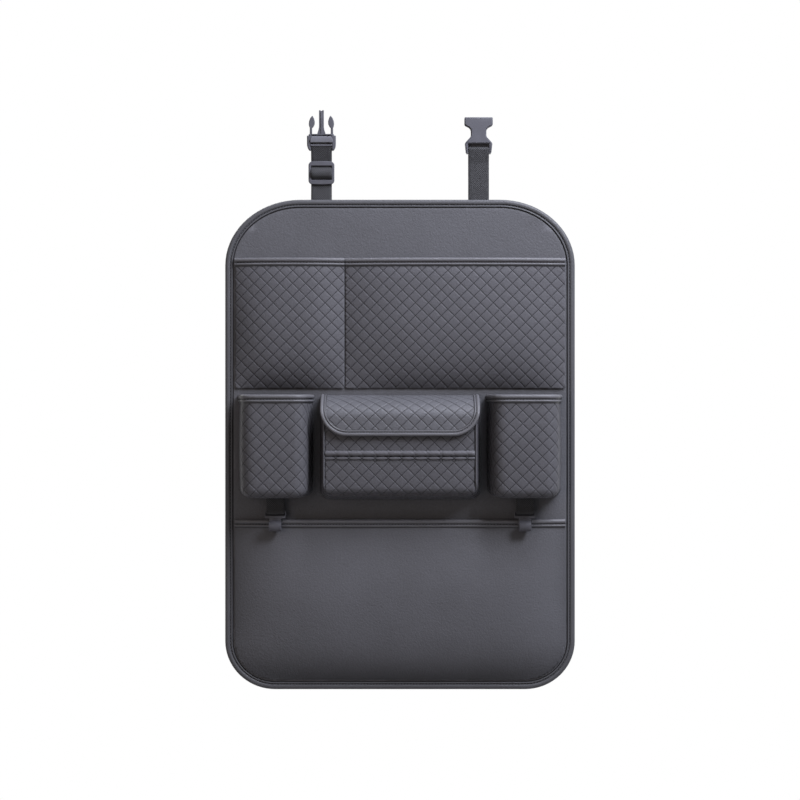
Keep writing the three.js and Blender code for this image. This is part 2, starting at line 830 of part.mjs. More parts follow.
// Distance of a point of the flap from its sides, bottom and rounded corners
function flapEdgeDistance(x, z) {
  const side = flapWidth / 2 - Math.abs(x);
  const below = z - flapBottom;
  const inCorner = side < flapCornerRadius && below < flapCornerRadius;
  if (!inCorner) return Math.min(side, below);
  return flapCornerRadius - Math.hypot(flapCornerRadius - side, flapCornerRadius - below);
}

const flapBendRows = quiltSteps((flapFront - panelFront + flapBendHeight) * 0.75);
const flapDropRows = quiltSteps(flapBendBottom - flapBottom);

// Solid of the flap's sheet between two surfaces, moved out and in from its outer face
function flapShell(out, inward, steps, quilted) {
  const rows = flapBendRows + flapDropRows;
  const columns = steps + 2;
  const profileAt = (offset) => {
    const profile = flapProfile(-offset, flapBendRows);
    const rim = profile[flapBendRows];
    for (let row = 1; row <= flapDropRows; row++) {
      profile.push(new THREE.Vector2(rim.x, rim.y - ((rim.y - flapBottom) * row) / flapDropRows));
    }
    return profile;
  };
  const outer = profileAt(out);
  const inner = profileAt(-inward);
  const half = flapWidth / 2;
  return wrapped(outer.map((point, row) => {
    const angle = (Math.min(row, flapBendRows) / flapBendRows) * (Math.PI / 2);
    const points = [at(-half, inner[row].x, inner[row].y)];
    for (let column = 1; column < columns; column++) {
      const x = half * (2 * ((column - 1) / steps) - 1);
      const flat = !quilted || flapEdgeDistance(x, point.y) < flapBindingWidth + quiltDiagonal / 3;
      const rise = flat ? 0 : quiltRise(column, row, columns, rows, 1);
      points.push(at(x, point.x + rise * Math.sin(angle), point.y + rise * Math.cos(angle)));
    }
    points.push(at(half, inner[row].x, inner[row].y));
    return points;
  }));
}

const magnetHeight = flapBottom + flapBindingWidth + 2 * fitGap + magnetRadius;
const reachingThrough = tissueDepth * 2;

function disc(radius, back, front, z) {
  const geometry = new THREE.CylinderGeometry(radius, radius, front - back, 16);
  return solidFrom(geometry.translate(0, -(back + front) / 2, z));
}

// Room of the flap's front outline, moved in, from the panel out past the flap
function flapRoom(inset) {
  return plate(flapOutline(inset), 0, reachingThrough);
}

function makeFlap() {
  const cut = flapRoom(flapBindingThickness + fitGap);
  const inside = flapFront - flapThickness;
  const forMagnet = disc(magnetRadius + fitGap, inside - 1, inside + magnetThickness, magnetHeight);
  return flapShell(0, flapThickness, quiltSteps(flapWidth), true).intersect(cut).subtract(forMagnet);
}

function makeFlapBinding() {
  const reach = fitGap + flapBindingThickness;
  const outside = flapShell(reach, flapThickness + reach, 1, false);
  const band = flapRoom(0).subtract(flapRoom(flapBindingWidth));
  const channel = flapShell(fitGap, flapThickness + fitGap, 1, false);
  return outside.intersect(band).subtract(channel.intersect(flapRoom(flapBindingThickness)));
}

function makeFlapMagnet() {
  const inside = flapFront - flapThickness;
  return disc(magnetRadius, inside, inside + magnetThickness, magnetHeight);
}

function makePouchMagnet() {
  return disc(magnetRadius, tissueFaceBack - magnetThickness, tissueFaceBack, magnetHeight);
}

// Straps: flat webbing along a side view, folded round its bars

// Outline of a ribbon of webbing about a path in front distance and height
function ribbon(path) {
  const half = webbingThickness / 2;
  const left = [];
  const right = [];
  path.forEach((point, index) => {
    const before = path[Math.max(0, index - 1)];
    const after = path[Math.min(path.length - 1, index + 1)];
    const into = point.clone().sub(before).normalize();
    const along = after.clone().sub(point).normalize();
    const middle = into.add(along).normalize();
    const turn = index === 0 || index === path.length - 1 ? 1 : Math.max(0.5, middle.dot(along));
    const side = new THREE.Vector2(-middle.y, middle.x).multiplyScalar(half / turn);
    left.push(point.clone().add(side));
    right.unshift(point.clone().sub(side));
  });
  return [...left, ...right];
}

const barClear = fitGap + webbingThickness / 2;
const layerStep = webbingThickness + fitGap;
const turnEase = 0.8;
const glideBehind = strapFront - barThickness / 2 - barClear;
const glideBefore = strapFront + barThickness / 2 + barClear;
const glideMiddle = glideBarWidth / 2;
const glideEdge = glideLength / 2;

// Points of webbing round a bar from one angle to another, seen from the side
function wrapPoints(height, from, to, radius) {
  const points = [];
  for (let step = 0; step <= 6; step++) {
    const angle = THREE.MathUtils.degToRad(from + ((to - from) * step) / 6);
    points.push(new THREE.Vector2(strapFront + radius * Math.cos(angle), height + radius * Math.sin(angle)));
  }
  return points;
}

// From the panel up through the adjuster and the buckle, then back down to the adjuster's middle bar
function leftStrap() {
  const low = glideHeight - glideEdge;
  const high = glideHeight + glideEdge;
  const under = glideHeight - glideMiddle - barClear;
  const path = [
    new THREE.Vector2(strapFront, halfHeight - strapSewnLength),
    new THREE.Vector2(strapFront, halfHeight + fitGap),
    new THREE.Vector2(glideBehind, low - fitGap),
    new THREE.Vector2(glideBehind, low + glideBarWidth + turnEase),
    new THREE.Vector2(glideBefore + layerStep, under - turnEase),
    new THREE.Vector2(glideBefore + layerStep, glideHeight + glideMiddle - turnEase),
    new THREE.Vector2(glideBehind, high - glideBarWidth - turnEase),
    new THREE.Vector2(glideBehind, high + fitGap),
    ...wrapPoints(maleBarHeight, 0, 180, webBarSize / 2 + barClear),
    new THREE.Vector2(glideBehind - layerStep, high + fitGap),
    new THREE.Vector2(glideBehind - layerStep, glideHeight + glideMiddle + barClear * 4),
    new THREE.Vector2(glideBehind, glideHeight + glideMiddle),
    new THREE.Vector2(glideBehind, under + barClear / 2),
    new THREE.Vector2(glideBehind + barClear / 2, under),
    new THREE.Vector2(glideBefore - barClear / 2, under),
    new THREE.Vector2(glideBefore, under + barClear / 2),
    new THREE.Vector2(glideBefore, glideHeight + glideMiddle / 2),
  ];
  return sideways(ribbon(path), webbingWidth);
}

function rightStrap() {
  const loopStart = femaleBarHeight - strapLoopLength / 2;
  const path = [
    new THREE.Vector2(strapFront, halfHeight - strapSewnLength),
    new THREE.Vector2(strapFront, loopStart),
    ...wrapPoints(femaleBarHeight, 0, 180, webBarSize / 2 + barClear),
    new THREE.Vector2(strapFront - layerStep, loopStart),
    new THREE.Vector2(strapFront - layerStep, femaleBarHeight - strapLoopLength),
  ];
  return sideways(ribbon(path), webbingWidth);
}

function roundBar(width, size, front, z) {
  const bar = new THREE.CylinderGeometry(size / 2, size / 2, width, 8);
  return solidFrom(bar.rotateZ(Math.PI / 2).translate(0, -front, z));
}

const buckleBack = strapFront - buckleThickness / 2;
const buckleFront = strapFront + buckleThickness / 2;

// Male half: a body with ears, a centre prong and two sprung arms with leaf-shaped heads
function maleBuckle() {
  const half = maleWidth / 2;
  const ear = new THREE.Path();
  ear.moveTo(half - maleEarSize, maleTop);
  ear.lineTo(half - maleEarSize, maleTop - maleEarSize);
  ear.lineTo(half, maleTop - maleEarSize);
  ear.lineTo(half, maleBarHeight + 3);
  ear.quadraticCurveTo(half, maleBarHeight - 2, half - maleRimWidth + 1, maleBottom);
  const body = plate(mirrored(ear.getPoints(4)), buckleBack, buckleFront, 0.8);
  const windowTop = maleBarHeight + webBarSize / 2 + maleSlotHeight;
  const opening = box(webWindow, buckleBack - 1, buckleFront + 1, maleBottom - 1, windowTop);
  const bar = roundBar(webWindow + 1, webBarSize, strapFront, maleBarHeight);
  const prongHalf = prongWidth / 2;
  const prong = new THREE.Path();
  prong.moveTo(0.6, prongTop - 1.2);
  prong.lineTo(prongHalf, prongTop);
  prong.lineTo(prongHalf, maleTop + 8);
  prong.quadraticCurveTo(prongHalf, maleTop + 3, prongHalf + 2.4, maleTop - 1);
  const tongueBack = strapFront - prongThickness / 2;
  const tongue = plate(mirrored(prong.getPoints(4)), tongueBack, tongueBack + prongThickness, 0.4);
  const made = body.subtract(opening).add(bar).add(tongue);
  return made.add(maleArm(1)).add(maleArm(-1));
}

function maleArm(side) {
  const outer = side * (armSpread + armStemWidth / 2);
  const inner = side * (armSpread - armStemWidth / 2);
  const headOut = outer + side * armHeadBulge;
  const headIn = side * (armSpread + armStemWidth / 2 - armHeadWidth);
  const tip = side * (armSpread - 1.6);
  const arm = new THREE.Shape();
  arm.moveTo(outer, maleTop - 1);
  arm.lineTo(outer, armHeadBottom);
  arm.quadraticCurveTo(headOut + side, (armHeadBottom + armTop) / 2, tip, armTop);
  arm.quadraticCurveTo(headIn, (armHeadBottom + armTop) / 2 + 2, headIn, armHeadBottom + 4);
  arm.lineTo(inner, armHeadBottom);
  arm.lineTo(inner, maleTop - 1);
  return plate(arm, strapFront - armThickness / 2, strapFront + armThickness / 2);
}

// Female half: a socket with open sides at its neck, and a window for the webbing
function femaleBuckle() {
  const side = new THREE.Path();
  side.moveTo(femaleWidth / 2, femaleTop);
  side.lineTo(femaleWidth / 2, femaleShoulder);
  side.quadraticCurveTo(neckWidth / 2, femaleShoulder - 2, neckWidth / 2, neckTop);
  side.lineTo(neckWidth / 2, neckBottom);
  side.quadraticCurveTo(neckWidth / 2 + 1, neckBottom - 3.5, femaleWidth / 2 - 1, femaleWaist);
  side.lineTo(femaleBottomWidth / 2, femaleBottom);
  const body = plate(mirrored(side.getPoints(4)), buckleBack, buckleFront, 0.8);
  const socket = box(socketWidth, strapFront - socketThickness / 2, strapFront + socketThickness / 2,
    neckBottom, femaleTop + 1);
  const windowHalf = femaleBottomWidth / 2 - femaleRimWidth;
  const opening = box(2 * windowHalf, buckleBack - 1, buckleFront + 1, femaleBottom - 1, femaleWaist - 0.5);
  const bar = roundBar(2 * windowHalf + 1, webBarSize, strapFront, femaleBarHeight);
  return body.subtract(socket).subtract(opening).add(bar);
}

// Strap adjuster: a frame with a bar across its middle
function glide() {
  const half = glideWidth / 2;
  const edge = glideLength / 2;
  const corner = glideCorner;
  const outline = new THREE.Shape();
  outline.moveTo(-half, corner - edge);
  outline.quadraticCurveTo(-half, -edge, corner - half, -edge);
  outline.quadraticCurveTo(0, -edge - glideArch, half - corner, -edge);
  outline.quadraticCurveTo(half, -edge, half, corner - edge);
  outline.lineTo(half, edge - corner);
  outline.quadraticCurveTo(half, edge, half - corner, edge);
  outline.quadraticCurveTo(0, edge + glideArch, corner - half, edge);
  outline.quadraticCurveTo(-half, edge, -half, edge - corner);
  const frame = plate(outline, strapFront - barThickness / 2, strapFront + barThickness / 2, 0.5);
  const reach = edge - glideBarWidth;
  const lower = box(webWindow, buckleBack, buckleFront, -reach, -glideMiddle);
  const upper = box(webWindow, buckleBack, buckleFront, glideMiddle, reach);
  return frame.subtract(lower).subtract(upper);
}

// Bag hooks: a J-shaped hook below a slotted frame, whose top bar runs in a loop of webbing

const loopInner = hookBarRadius + hookRunningGap;
const loopOuter = loopInner + webbingThickness;

// Side view about the bar's centre, hanging down from the pouch's bottom
function hookTab() {
  const top = cupBottom - hookAxisHeight;
  const join = loopOuter * 2;
  const outline = new THREE.Shape();
  outline.moveTo(-webbingThickness, top);
  outline.lineTo(-webbingThickness, join);
  outline.lineTo(-loopOuter, 0);
  outline.absarc(0, 0, loopOuter, Math.PI, 2 * Math.PI);
  outline.lineTo(webbingThickness, join);
  outline.lineTo(webbingThickness, top);
  const hole = new THREE.Path();
  hole.moveTo(0, join - webbingThickness);
  hole.lineTo(-loopInner, 0);
  hole.absarc(0, 0, loopInner, Math.PI, 2 * Math.PI);
  hole.lineTo(0, join - webbingThickness);
  outline.holes.push(hole);
  return sideways(outline, tabWidth);
}

function bagHook() {
  const half = hookThickness / 2;
  const bodyTop = -loopOuter - hookRunningGap;
  const bodyBottom = hookFrameBottom - hookAxisHeight;
  const slotWidth = tabWidth + 2 * hookRunningGap;
  const frame = box(slotWidth + 2 * hookSideWidth, -half, half, bodyBottom, hookBarRadius);
  const opening = box(slotWidth, -half - 1, half + 1, bodyTop, hookBarRadius + 1);
  const bar = roundBar(slotWidth + 1, 2 * hookBarRadius, 0, 0);
  const reach = hookMouth / 2;
  const bendCentre = half + reach;
  const bottom = hookBottom - hookAxisHeight;
  const bendHeight = bottom + hookThickness + reach;
  const tipTop = hookTipTop - hookAxisHeight;
  const outline = new THREE.Shape();
  outline.moveTo(-half, bodyBottom + 1);
  outline.lineTo(-half, bendHeight);
  outline.absarc(bendCentre, bendHeight, reach + hookThickness, Math.PI, 2 * Math.PI);
  outline.lineTo(bendCentre + reach + hookThickness, tipTop - 1);
  outline.lineTo(bendCentre + reach + hookThickness - 1, tipTop);
  outline.lineTo(bendCentre + reach, tipTop);
  outline.lineTo(bendCentre + reach, bendHeight);
  outline.absarc(bendCentre, bendHeight, reach, 2 * Math.PI, Math.PI, true);
  outline.lineTo(half, bodyBottom + 1);
  return frame.subtract(opening).add(bar).add(sideways(outline, hookWidth));
}

// The whole organizer, put together as groups of pieces

function groupOf(...children) {
  const group = new THREE.Group();
  group.add(...children);
  return group;
}

const panel = groupOf(
  piece("back_lining", makeLining(), "lining"),
  piece("core_board", makeBoard(), "board"),
  piece("face_panel", makeFace(), "leather"),
  piece("edge_binding", makeBinding(), "binding"),
);

const flatPockets = groupOf(
  piece("upper_left_pocket", pocketSheet(upperLeftPocket, true), "quilted"),
  piece("upper_left_hem", pocketHem(upperLeftPocket), "leather"),
  piece("upper_right_pocket", pocketSheet(upperRightPocket, true), "quilted"),
  piece("upper_right_hem", pocketHem(upperRightPocket), "leather"),
  piece("bottom_pocket", pocketSheet(bottomPocket, false), "leather"),
  piece("bottom_hem", pocketHem(bottomPocket), "leather"),
);

const tissuePouch = groupOf(
  piece("tissue_gusset", makeGusset(), "quilted"),
  piece("tissue_face_upper", makeUpperFace(), "quilted"),
  piece("tissue_face_lower", makeLowerFace(), "quilted"),
  piece("tissue_flap", makeFlap(), "quilted"),
  piece("flap_binding", makeFlapBinding(), "binding"),
  piece("flap_magnet", makeFlapMagnet(), "magnet"),
  piece("pouch_magnet", makePouchMagnet(), "magnet"),
);

function cupPouch(name, x) {
  const group = groupOf(
    piece("cup_pouch_" + name, cupSheet(), "quilted"),
    piece("cup_hem_" + name, cupHem(), "leather"),
  );
  group.position.x = x;
  return group;
}

function hookSet(name, x) {
  const group = groupOf(
    piece("hook_tab_" + name, hookTab(), "webbing"),
    piece("bag_hook_" + name, bagHook(), "plastic"),
  );
  group.position.copy(at(x, tabFront, hookAxisHeight));
  return group;
}

const adjuster = piece("tri_glide", glide(), "plastic");
adjuster.position.z = glideHeight;

const leftHanger = groupOf(
  piece("left_strap", leftStrap(), "webbing"),
  adjuster,
  piece("male_buckle", maleBuckle(), "plastic"),
);
leftHanger.position.x = -strapCentre;

const rightHanger = groupOf(
  piece("right_strap", rightStrap(), "webbing"),
  piece("female_buckle", femaleBuckle(), "plastic"),
);
rightHanger.position.x = strapCentre;

const organizer = groupOf(
  panel,
  flatPockets,
  tissuePouch,
  cupPouch("left", -cupCentre),
  cupPouch("right", cupCentre),
  hookSet("left", -cupCentre),
  hookSet("right", cupCentre),
  leftHanger,
  rightHanger,
);

export default organizer;
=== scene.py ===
import math

import bmesh
import bpy
import numpy as np
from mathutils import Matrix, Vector


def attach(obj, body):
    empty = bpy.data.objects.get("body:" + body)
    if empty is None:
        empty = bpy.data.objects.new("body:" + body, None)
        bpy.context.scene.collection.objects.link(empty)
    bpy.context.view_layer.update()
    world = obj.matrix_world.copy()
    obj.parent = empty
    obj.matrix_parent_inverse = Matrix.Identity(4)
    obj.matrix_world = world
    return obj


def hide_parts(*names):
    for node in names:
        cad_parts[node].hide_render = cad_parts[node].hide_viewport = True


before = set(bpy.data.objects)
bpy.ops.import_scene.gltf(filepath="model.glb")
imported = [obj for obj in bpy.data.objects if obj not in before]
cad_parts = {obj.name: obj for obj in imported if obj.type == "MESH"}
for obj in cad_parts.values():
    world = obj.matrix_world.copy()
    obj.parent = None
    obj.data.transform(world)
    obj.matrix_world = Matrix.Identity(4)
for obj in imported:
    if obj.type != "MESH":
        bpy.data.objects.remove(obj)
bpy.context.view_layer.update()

# A car seat back organizer: a flat leather panel with pockets and pouches, hung by two buckle straps.
# Sizes are millimetres. x runs to the viewer's right, z up, and "front" is the distance in front of
# the panel's back, towards the viewer. A mesh turns them into metres when it is made.

# The room
# The organizer hangs free in front of a white background, over a small pale floor. The camera looks
# straight at its front. Two soft cool lamps stand at the upper right, a weak warm one fills in from the
# left, and one behind lights the back.

camera_distance = 2.43
camera_height = 0.0534
panel_face = 0.0056
width_in_view = 0.96
sensor_width = 36

camera_data = bpy.data.cameras.new("camera")
camera_data.sensor_width = sensor_width
camera_data.lens = sensor_width * (camera_distance - panel_face) / width_in_view
camera = bpy.data.objects.new("camera", camera_data)
camera.location = (0, -camera_distance, camera_height)
camera.rotation_euler = (math.pi / 2, 0, 0)
bpy.context.collection.objects.link(camera)
bpy.context.scene.camera = camera
bpy.context.scene.view_settings.view_transform = "Standard"


def soft_lamp(name, place, size, power, colour):
    """A round lamp at a place in metres, turned to the middle of the panel."""
    data = bpy.data.lights.new(name, "AREA")
    data.shape = "DISK"
    data.size = size
    data.energy = power
    data.color = colour
    lamp = bpy.data.objects.new(name, data)
    lamp.location = place
    lamp.visible_camera = False
    lamp.rotation_euler = (-Vector(place)).to_track_quat("-Z", "Y").to_euler()
    bpy.context.collection.objects.link(lamp)


cool = (0.86, 0.89, 1.0)
warm = (1.0, 0.86, 0.78)
white = (1.0, 1.0, 1.0)
soft_lamp("key_lamp", (1.1, -1.1, 1.25), 0.8, 51, cool)
soft_lamp("top_lamp", (0.5, -0.45, 1.3), 0.7, 31, cool)
soft_lamp("fill_lamp", (-1.2, -2.4, 0.15), 1.6, 12.5, warm)
soft_lamp("back_lamp", (-0.9, 2.2, 1.6), 1.6, 34, white)


def background_share(nodes, links):
    """1 for rays that show the background itself, to the camera, in gloss or through glass, or else 0."""
    rays = nodes.new("ShaderNodeLightPath")
    share = rays.outputs["Is Camera Ray"]
    for kind in ("Is Glossy Ray", "Is Transmission Ray"):
        either = nodes.new("ShaderNodeMath")
        either.operation = "MAXIMUM"
        links.new(share, either.inputs[0])
        links.new(rays.outputs[kind], either.inputs[1])
        share = either.outputs["Value"]
    return share


world = bpy.data.worlds.new("room")
bpy.context.scene.world = world
world.use_nodes = True
room_nodes = world.node_tree.nodes
room_links = world.node_tree.links
room_light = room_nodes["Background"]
room_light.inputs["Color"].default_value = (1.0, 0.94, 0.9, 1)
room_light.inputs["Strength"].default_value = 0.16
seen_white = room_nodes.new("ShaderNodeBackground")
seen_white.inputs["Color"].default_value = (1, 1, 1, 1)
seen_white.inputs["Strength"].default_value = 1
room_mix = room_nodes.new("ShaderNodeMixShader")
room_links.new(background_share(room_nodes, room_links), room_mix.inputs["Fac"])
room_links.new(room_light.outputs["Background"], room_mix.inputs[1])
room_links.new(seen_white.outputs["Background"], room_mix.inputs[2])
room_links.new(room_mix.outputs["Shader"], room_nodes["World Output"].inputs["Surface"])

# The floor looks pale but throws little light back up, so the pouches' undersides stay dark.
floor_height = -0.95
floor_thrown_back = (0.3, 0.3, 0.3, 1)
floor_seen = (0.82, 0.82, 0.82, 1)
floor_mesh = bpy.data.meshes.new("floor")
floor_corners = [(-1.6, -1.6), (1.6, -1.6), (1.6, 1.2), (-1.6, 1.2)]
floor_mesh.from_pydata([(x, y, floor_height) for x, y in floor_corners], [], [(0, 1, 2, 3)])
floor = bpy.data.objects.new("floor", floor_mesh)
bpy.context.collection.objects.link(floor)
floor_finish = bpy.data.materials.new("pale_floor")
floor_finish.use_nodes = True
floor_nodes = floor_finish.node_tree.nodes
floor_links = floor_finish.node_tree.links
floor_shader = floor_nodes["Principled BSDF"]
floor_tone = floor_nodes.new("ShaderNodeMix")
floor_tone.data_type = "RGBA"
floor_tone.inputs["A"].default_value = floor_thrown_back
floor_tone.inputs["B"].default_value = floor_seen
floor_links.new(background_share(floor_nodes, floor_links), floor_tone.inputs["Factor"])
floor_links.new(floor_tone.outputs["Result"], floor_shader.inputs["Base Color"])
floor_shader.inputs["Roughness"].default_value = 0.9
floor_mesh.materials.append(floor_finish)

# Back lining
# A plain black woven lining covers the whole back, inside the binding, and the stiffening board lies
# under it. It is stretched flat and sewn in at the edge.

panel_half_width = 210
panel_half_height = 294
top_corner = (90, 79)
bottom_corner = (60, 58)
corner_points = 18
grid_step = 7
lining_inset = 9.6
lining_rest = 0.3
lining_thickness = 0.4


def panel_outline(inset):
    """Outline of the panel in x and z, moved in from its edge, with as many points for any inset."""
    points = []
    corners = [(1, 1, top_corner), (-1, 1, top_corner), (-1, -1, bottom_corner), (1, -1, bottom_corner)]
    for side, end, (width, height) in corners:
        width = width - inset
        height = height - inset
        middle_x = side * (panel_half_width - inset - width)
        middle_z = end * (panel_half_height - inset - height)
        for step in range(corner_points + 1):
            turn = step / corner_points * math.pi / 2
            if side * end < 0:
                turn = math.pi / 2 - turn
            x = middle_x + side * width * math.cos(turn)
            points.append((x, middle_z + end * height * math.sin(turn)))
    return points


def to_metres(points):
    """Points in x, front and z millimetres to Blender's metres."""
    points = np.asarray(points, dtype=float).reshape(-1, 3)
    return np.column_stack([points[:, 0], -points[:, 1], points[:, 2]]) * 0.001


def make_piece(name, points, faces, finishes, finish_of_faces=None, marks=None, weave=None, smooth=True):
    """An object on the root body from points in millimetres. marks are values stored at its points."""
    mesh = bpy.data.meshes.new(name)
    mesh.from_pydata(to_metres(points).tolist(), [], [list(face) for face in faces])
    for finish in finishes:
        mesh.materials.append(finish)
    if finish_of_faces is not None:
        mesh.polygons.foreach_set("material_index", finish_of_faces)
    for label, values in (marks or {}).items():
        mark = mesh.attributes.new(label, "FLOAT", "POINT")
        mark.data.foreach_set("value", np.asarray(values, dtype=float))
    if weave is not None:
        layer = mesh.uv_layers.new(name="weave")
        loops = np.zeros(len(mesh.loops), dtype=int)
        mesh.loops.foreach_get("vertex_index", loops)
        layer.data.foreach_set("uv", (np.asarray(weave, dtype=float)[loops] * 0.001).ravel())
    if smooth:
        mesh.shade_smooth()
        mesh.set_sharp_from_angle(angle=math.radians(70))
    mesh.update()
    made = bpy.data.objects.new(name, mesh)
    bpy.context.collection.objects.link(made)
    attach(made, "root")
    return made


def new_finish(name):
    """A material with its nodes, its links and its main shader."""
    finish = bpy.data.materials.new(name)
    finish.use_nodes = True
    tree = finish.node_tree
    return finish, tree.nodes, tree.links, tree.nodes["Principled BSDF"]


def bumped(nodes, links, shader, height, strength, depth):
    """Adds a bump of a depth in metres under the shader's normal."""
    bump = nodes.new("ShaderNodeBump")
    bump.inputs["Strength"].default_value = strength
    bump.inputs["Distance"].default_value = depth
    links.new(height, bump.inputs["Height"])
    links.new(bump.outputs["Normal"], shader.inputs["Normal"])
    return bump


def blend_colours(nodes, links, share, dark, light):
    """A colour between dark and light."""
    mix = nodes.new("ShaderNodeMix")
    mix.data_type = "RGBA"
    mix.inputs["A"].default_value = (*dark, 1)
    mix.inputs["B"].default_value = (*light, 1)
    links.new(share, mix.inputs["Factor"])
    return mix.outputs["Result"]


def ranged(nodes, links, value, low, high):
    """The value, from 0 to 1, spread from low to high."""
    spread = nodes.new("ShaderNodeMapRange")
    spread.inputs["To Min"].default_value = low
    spread.inputs["To Max"].default_value = high
    links.new(value, spread.inputs["Value"])
    return spread.outputs["Result"]


def worked_out(nodes, links, operation, first, second):
    """The result of a sum on two values, each a number or another node's output."""
    maths = nodes.new("ShaderNodeMath")
    maths.operation = operation
    for socket, value in zip(maths.inputs, (first, second)):
        if isinstance(value, (int, float)):
            socket.default_value = value
        else:
            links.new(value, socket)
    return maths.outputs["Value"]


def noise(nodes, scale, detail):
    """Soft uneven patches, with a scale in patches a metre."""
    texture = nodes.new("ShaderNodeTexNoise")
    texture.inputs["Scale"].default_value = scale
    texture.inputs["Detail"].default_value = detail
    return texture


def woven_finish(name, dark, light, thread, roughness, slanted=False):
    """Woven cloth whose threads cross each other in UV metres, one over and one under."""
    finish, nodes, links, shader = new_finish(name)
    place = nodes.new("ShaderNodeUVMap")
    place.uv_map = "weave"
    turned = nodes.new("ShaderNodeMapping")
    if slanted:
        turned.inputs["Rotation"].default_value = (0, 0, math.radians(45))
    links.new(place.outputs["UV"], turned.inputs["Vector"])
    across = nodes.new("ShaderNodeSeparateXYZ")
    links.new(turned.outputs["Vector"], across.inputs["Vector"])
    waves = []
    for axis in ("X", "Y"):
        turns = worked_out(nodes, links, "MULTIPLY", across.outputs[axis], math.pi / thread)
        waves.append(worked_out(nodes, links, "SINE", turns, 0))
    crossing = worked_out(nodes, links, "MULTIPLY", waves[0], waves[1])
    height = ranged(nodes, links, worked_out(nodes, links, "ABSOLUTE", crossing, 0), 0, 1)
    patches = noise(nodes, 90, 5)
    links.new(place.outputs["UV"], patches.inputs["Vector"])
    uneven = ranged(nodes, links, patches.outputs["Fac"], 0.55, 1.3)
    worn = worked_out(nodes, links, "MULTIPLY", height, uneven)
    links.new(blend_colours(nodes, links, worn, dark, light), shader.inputs["Base Color"])
    dullness = ranged(nodes, links, patches.outputs["Fac"], roughness, roughness + 0.15)
    links.new(dullness, shader.inputs["Roughness"])
    shader.inputs["Sheen Weight"].default_value = 0.04
    shader.inputs["Specular IOR Level"].default_value = 0.15
    bumped(nodes, links, shader, height, 0.8, thread * 0.3)
    return finish


def clipped_grid(lines_across, lines_up, outline, turn=0.0):
    """Points and faces of a flat grid, turned by an angle and cut to a convex anticlockwise outline."""
    outline = np.asarray(outline, dtype=float)
    across, up = np.meshgrid(lines_across, lines_up, indexing="ij")
    x = across * math.cos(turn) - up * math.sin(turn)
    z = across * math.sin(turn) + up * math.cos(turn)
    flat = np.column_stack([x.ravel(), z.ravel()])
    rows = len(lines_up)
    corner = (np.arange(len(lines_across) - 1)[:, None] * rows + np.arange(rows - 1)[None, :]).ravel()
    quads = np.column_stack([corner, corner + rows, corner + rows + 1, corner + 1])
    low = outline.min(axis=0)
    high = outline.max(axis=0)
    quad_low = flat[quads].min(axis=1)
    quad_high = flat[quads].max(axis=1)
    quads = quads[((quad_high > low) & (quad_low < high)).all(axis=1)]
    used, renamed = np.unique(quads, return_inverse=True)
    sheet = bmesh.new()
    made = [sheet.verts.new((x, z, 0)) for x, z in flat[used]]
    for quad in renamed.reshape(quads.shape):
        sheet.faces.new([made[index] for index in quad])
    no_length = 1e-6
    on_the_cut = 1e-4
    for start, end in zip(outline, np.roll(outline, -1, axis=0)):
        along = end - start
        if np.hypot(*along) < no_length:
            continue
        outward = (along[1], -along[0], 0)
        everything = sheet.verts[:] + sheet.edges[:] + sheet.faces[:]
        bmesh.ops.bisect_plane(sheet, geom=everything, dist=on_the_cut, plane_co=(*start, 0),
                               plane_no=outward, clear_outer=True)
    sheet.verts.index_update()
    points = np.array([vert.co[:2] for vert in sheet.verts])
    faces = [[vert.index for vert in face.verts] for face in sheet.faces]
    sheet.free()
    return points, faces


def anticlockwise(outline):
    """The closed outline, turned round if it runs clockwise."""
    sides = zip(outline, outline[1:] + outline[:1])
    area = sum(start[0] * end[1] - end[0] * start[1] for start, end in sides)
    return outline if area > 0 else outline[::-1]


def thickened(piece, thickness):
    """Gives a sheet its thickness behind its face."""
    wall = piece.modifiers.new("thickness", "SOLIDIFY")
    wall.thickness = thickness * 0.001
    wall.offset = -1
    wall.use_rim = True
    return piece


def cut_from(piece, flat_outline):
    """Makes an array of the flat shape that a sheet was cut to, in millimetres, and does nothing with it;
    the sheet is not used.
    """
    outline = np.array(flat_outline, dtype=float)


lining_weave = woven_finish("lining_weave", (0.008, 0.008, 0.009), (0.046, 0.046, 0.049), 0.0007, 0.75)
lining_outline = anticlockwise(panel_outline(lining_inset))
panel_across = np.arange(-panel_half_width, panel_half_width + 1, grid_step)
panel_up = np.arange(-panel_half_height, panel_half_height + 1, grid_step)
lining_points, lining_faces = clipped_grid(panel_across, panel_up, lining_outline)
lining_x, lining_z = lining_points.T
ripple = 0.12 * (np.sin(lining_x / 31) + np.sin(lining_z / 43 + lining_x / 60))
lining_places = np.column_stack([lining_x, lining_rest + ripple, lining_z])
lining_faces = [face[::-1] for face in lining_faces]
back_lining = make_piece("lining_sheet", lining_places, lining_faces, [lining_weave], weave=lining_points)
thickened(back_lining, lining_thickness)
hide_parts("back_lining")
cut_from(back_lining, lining_outline)

# Stiffening board
# A board of pressed fibres between the lining and the leather keeps the panel flat.
# It is glued in and hidden all round.

board_finish, nodes, links, shader = new_finish("pressed_board")
fibres = noise(nodes, 400, 6)
board_colour = blend_colours(nodes, links, fibres.outputs["Fac"], (0.20, 0.17, 0.13), (0.34, 0.30, 0.24))
links.new(board_colour, shader.inputs["Base Color"])
shader.inputs["Roughness"].default_value = 0.9
bumped(nodes, links, shader, fibres.outputs["Fac"], 0.5, 0.0002)
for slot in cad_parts["core_board"].material_slots:
    slot.material = board_finish

# Face panel
# Smooth imitation leather over the board, which shows at the top and between the pockets.
# Its rounded edge lies against the binding.

face_front = 5.6
face_inset = 10.4
face_thickness = 1.6
face_edge_round = 0.9
held_flat_to = 11
free_beyond = 14


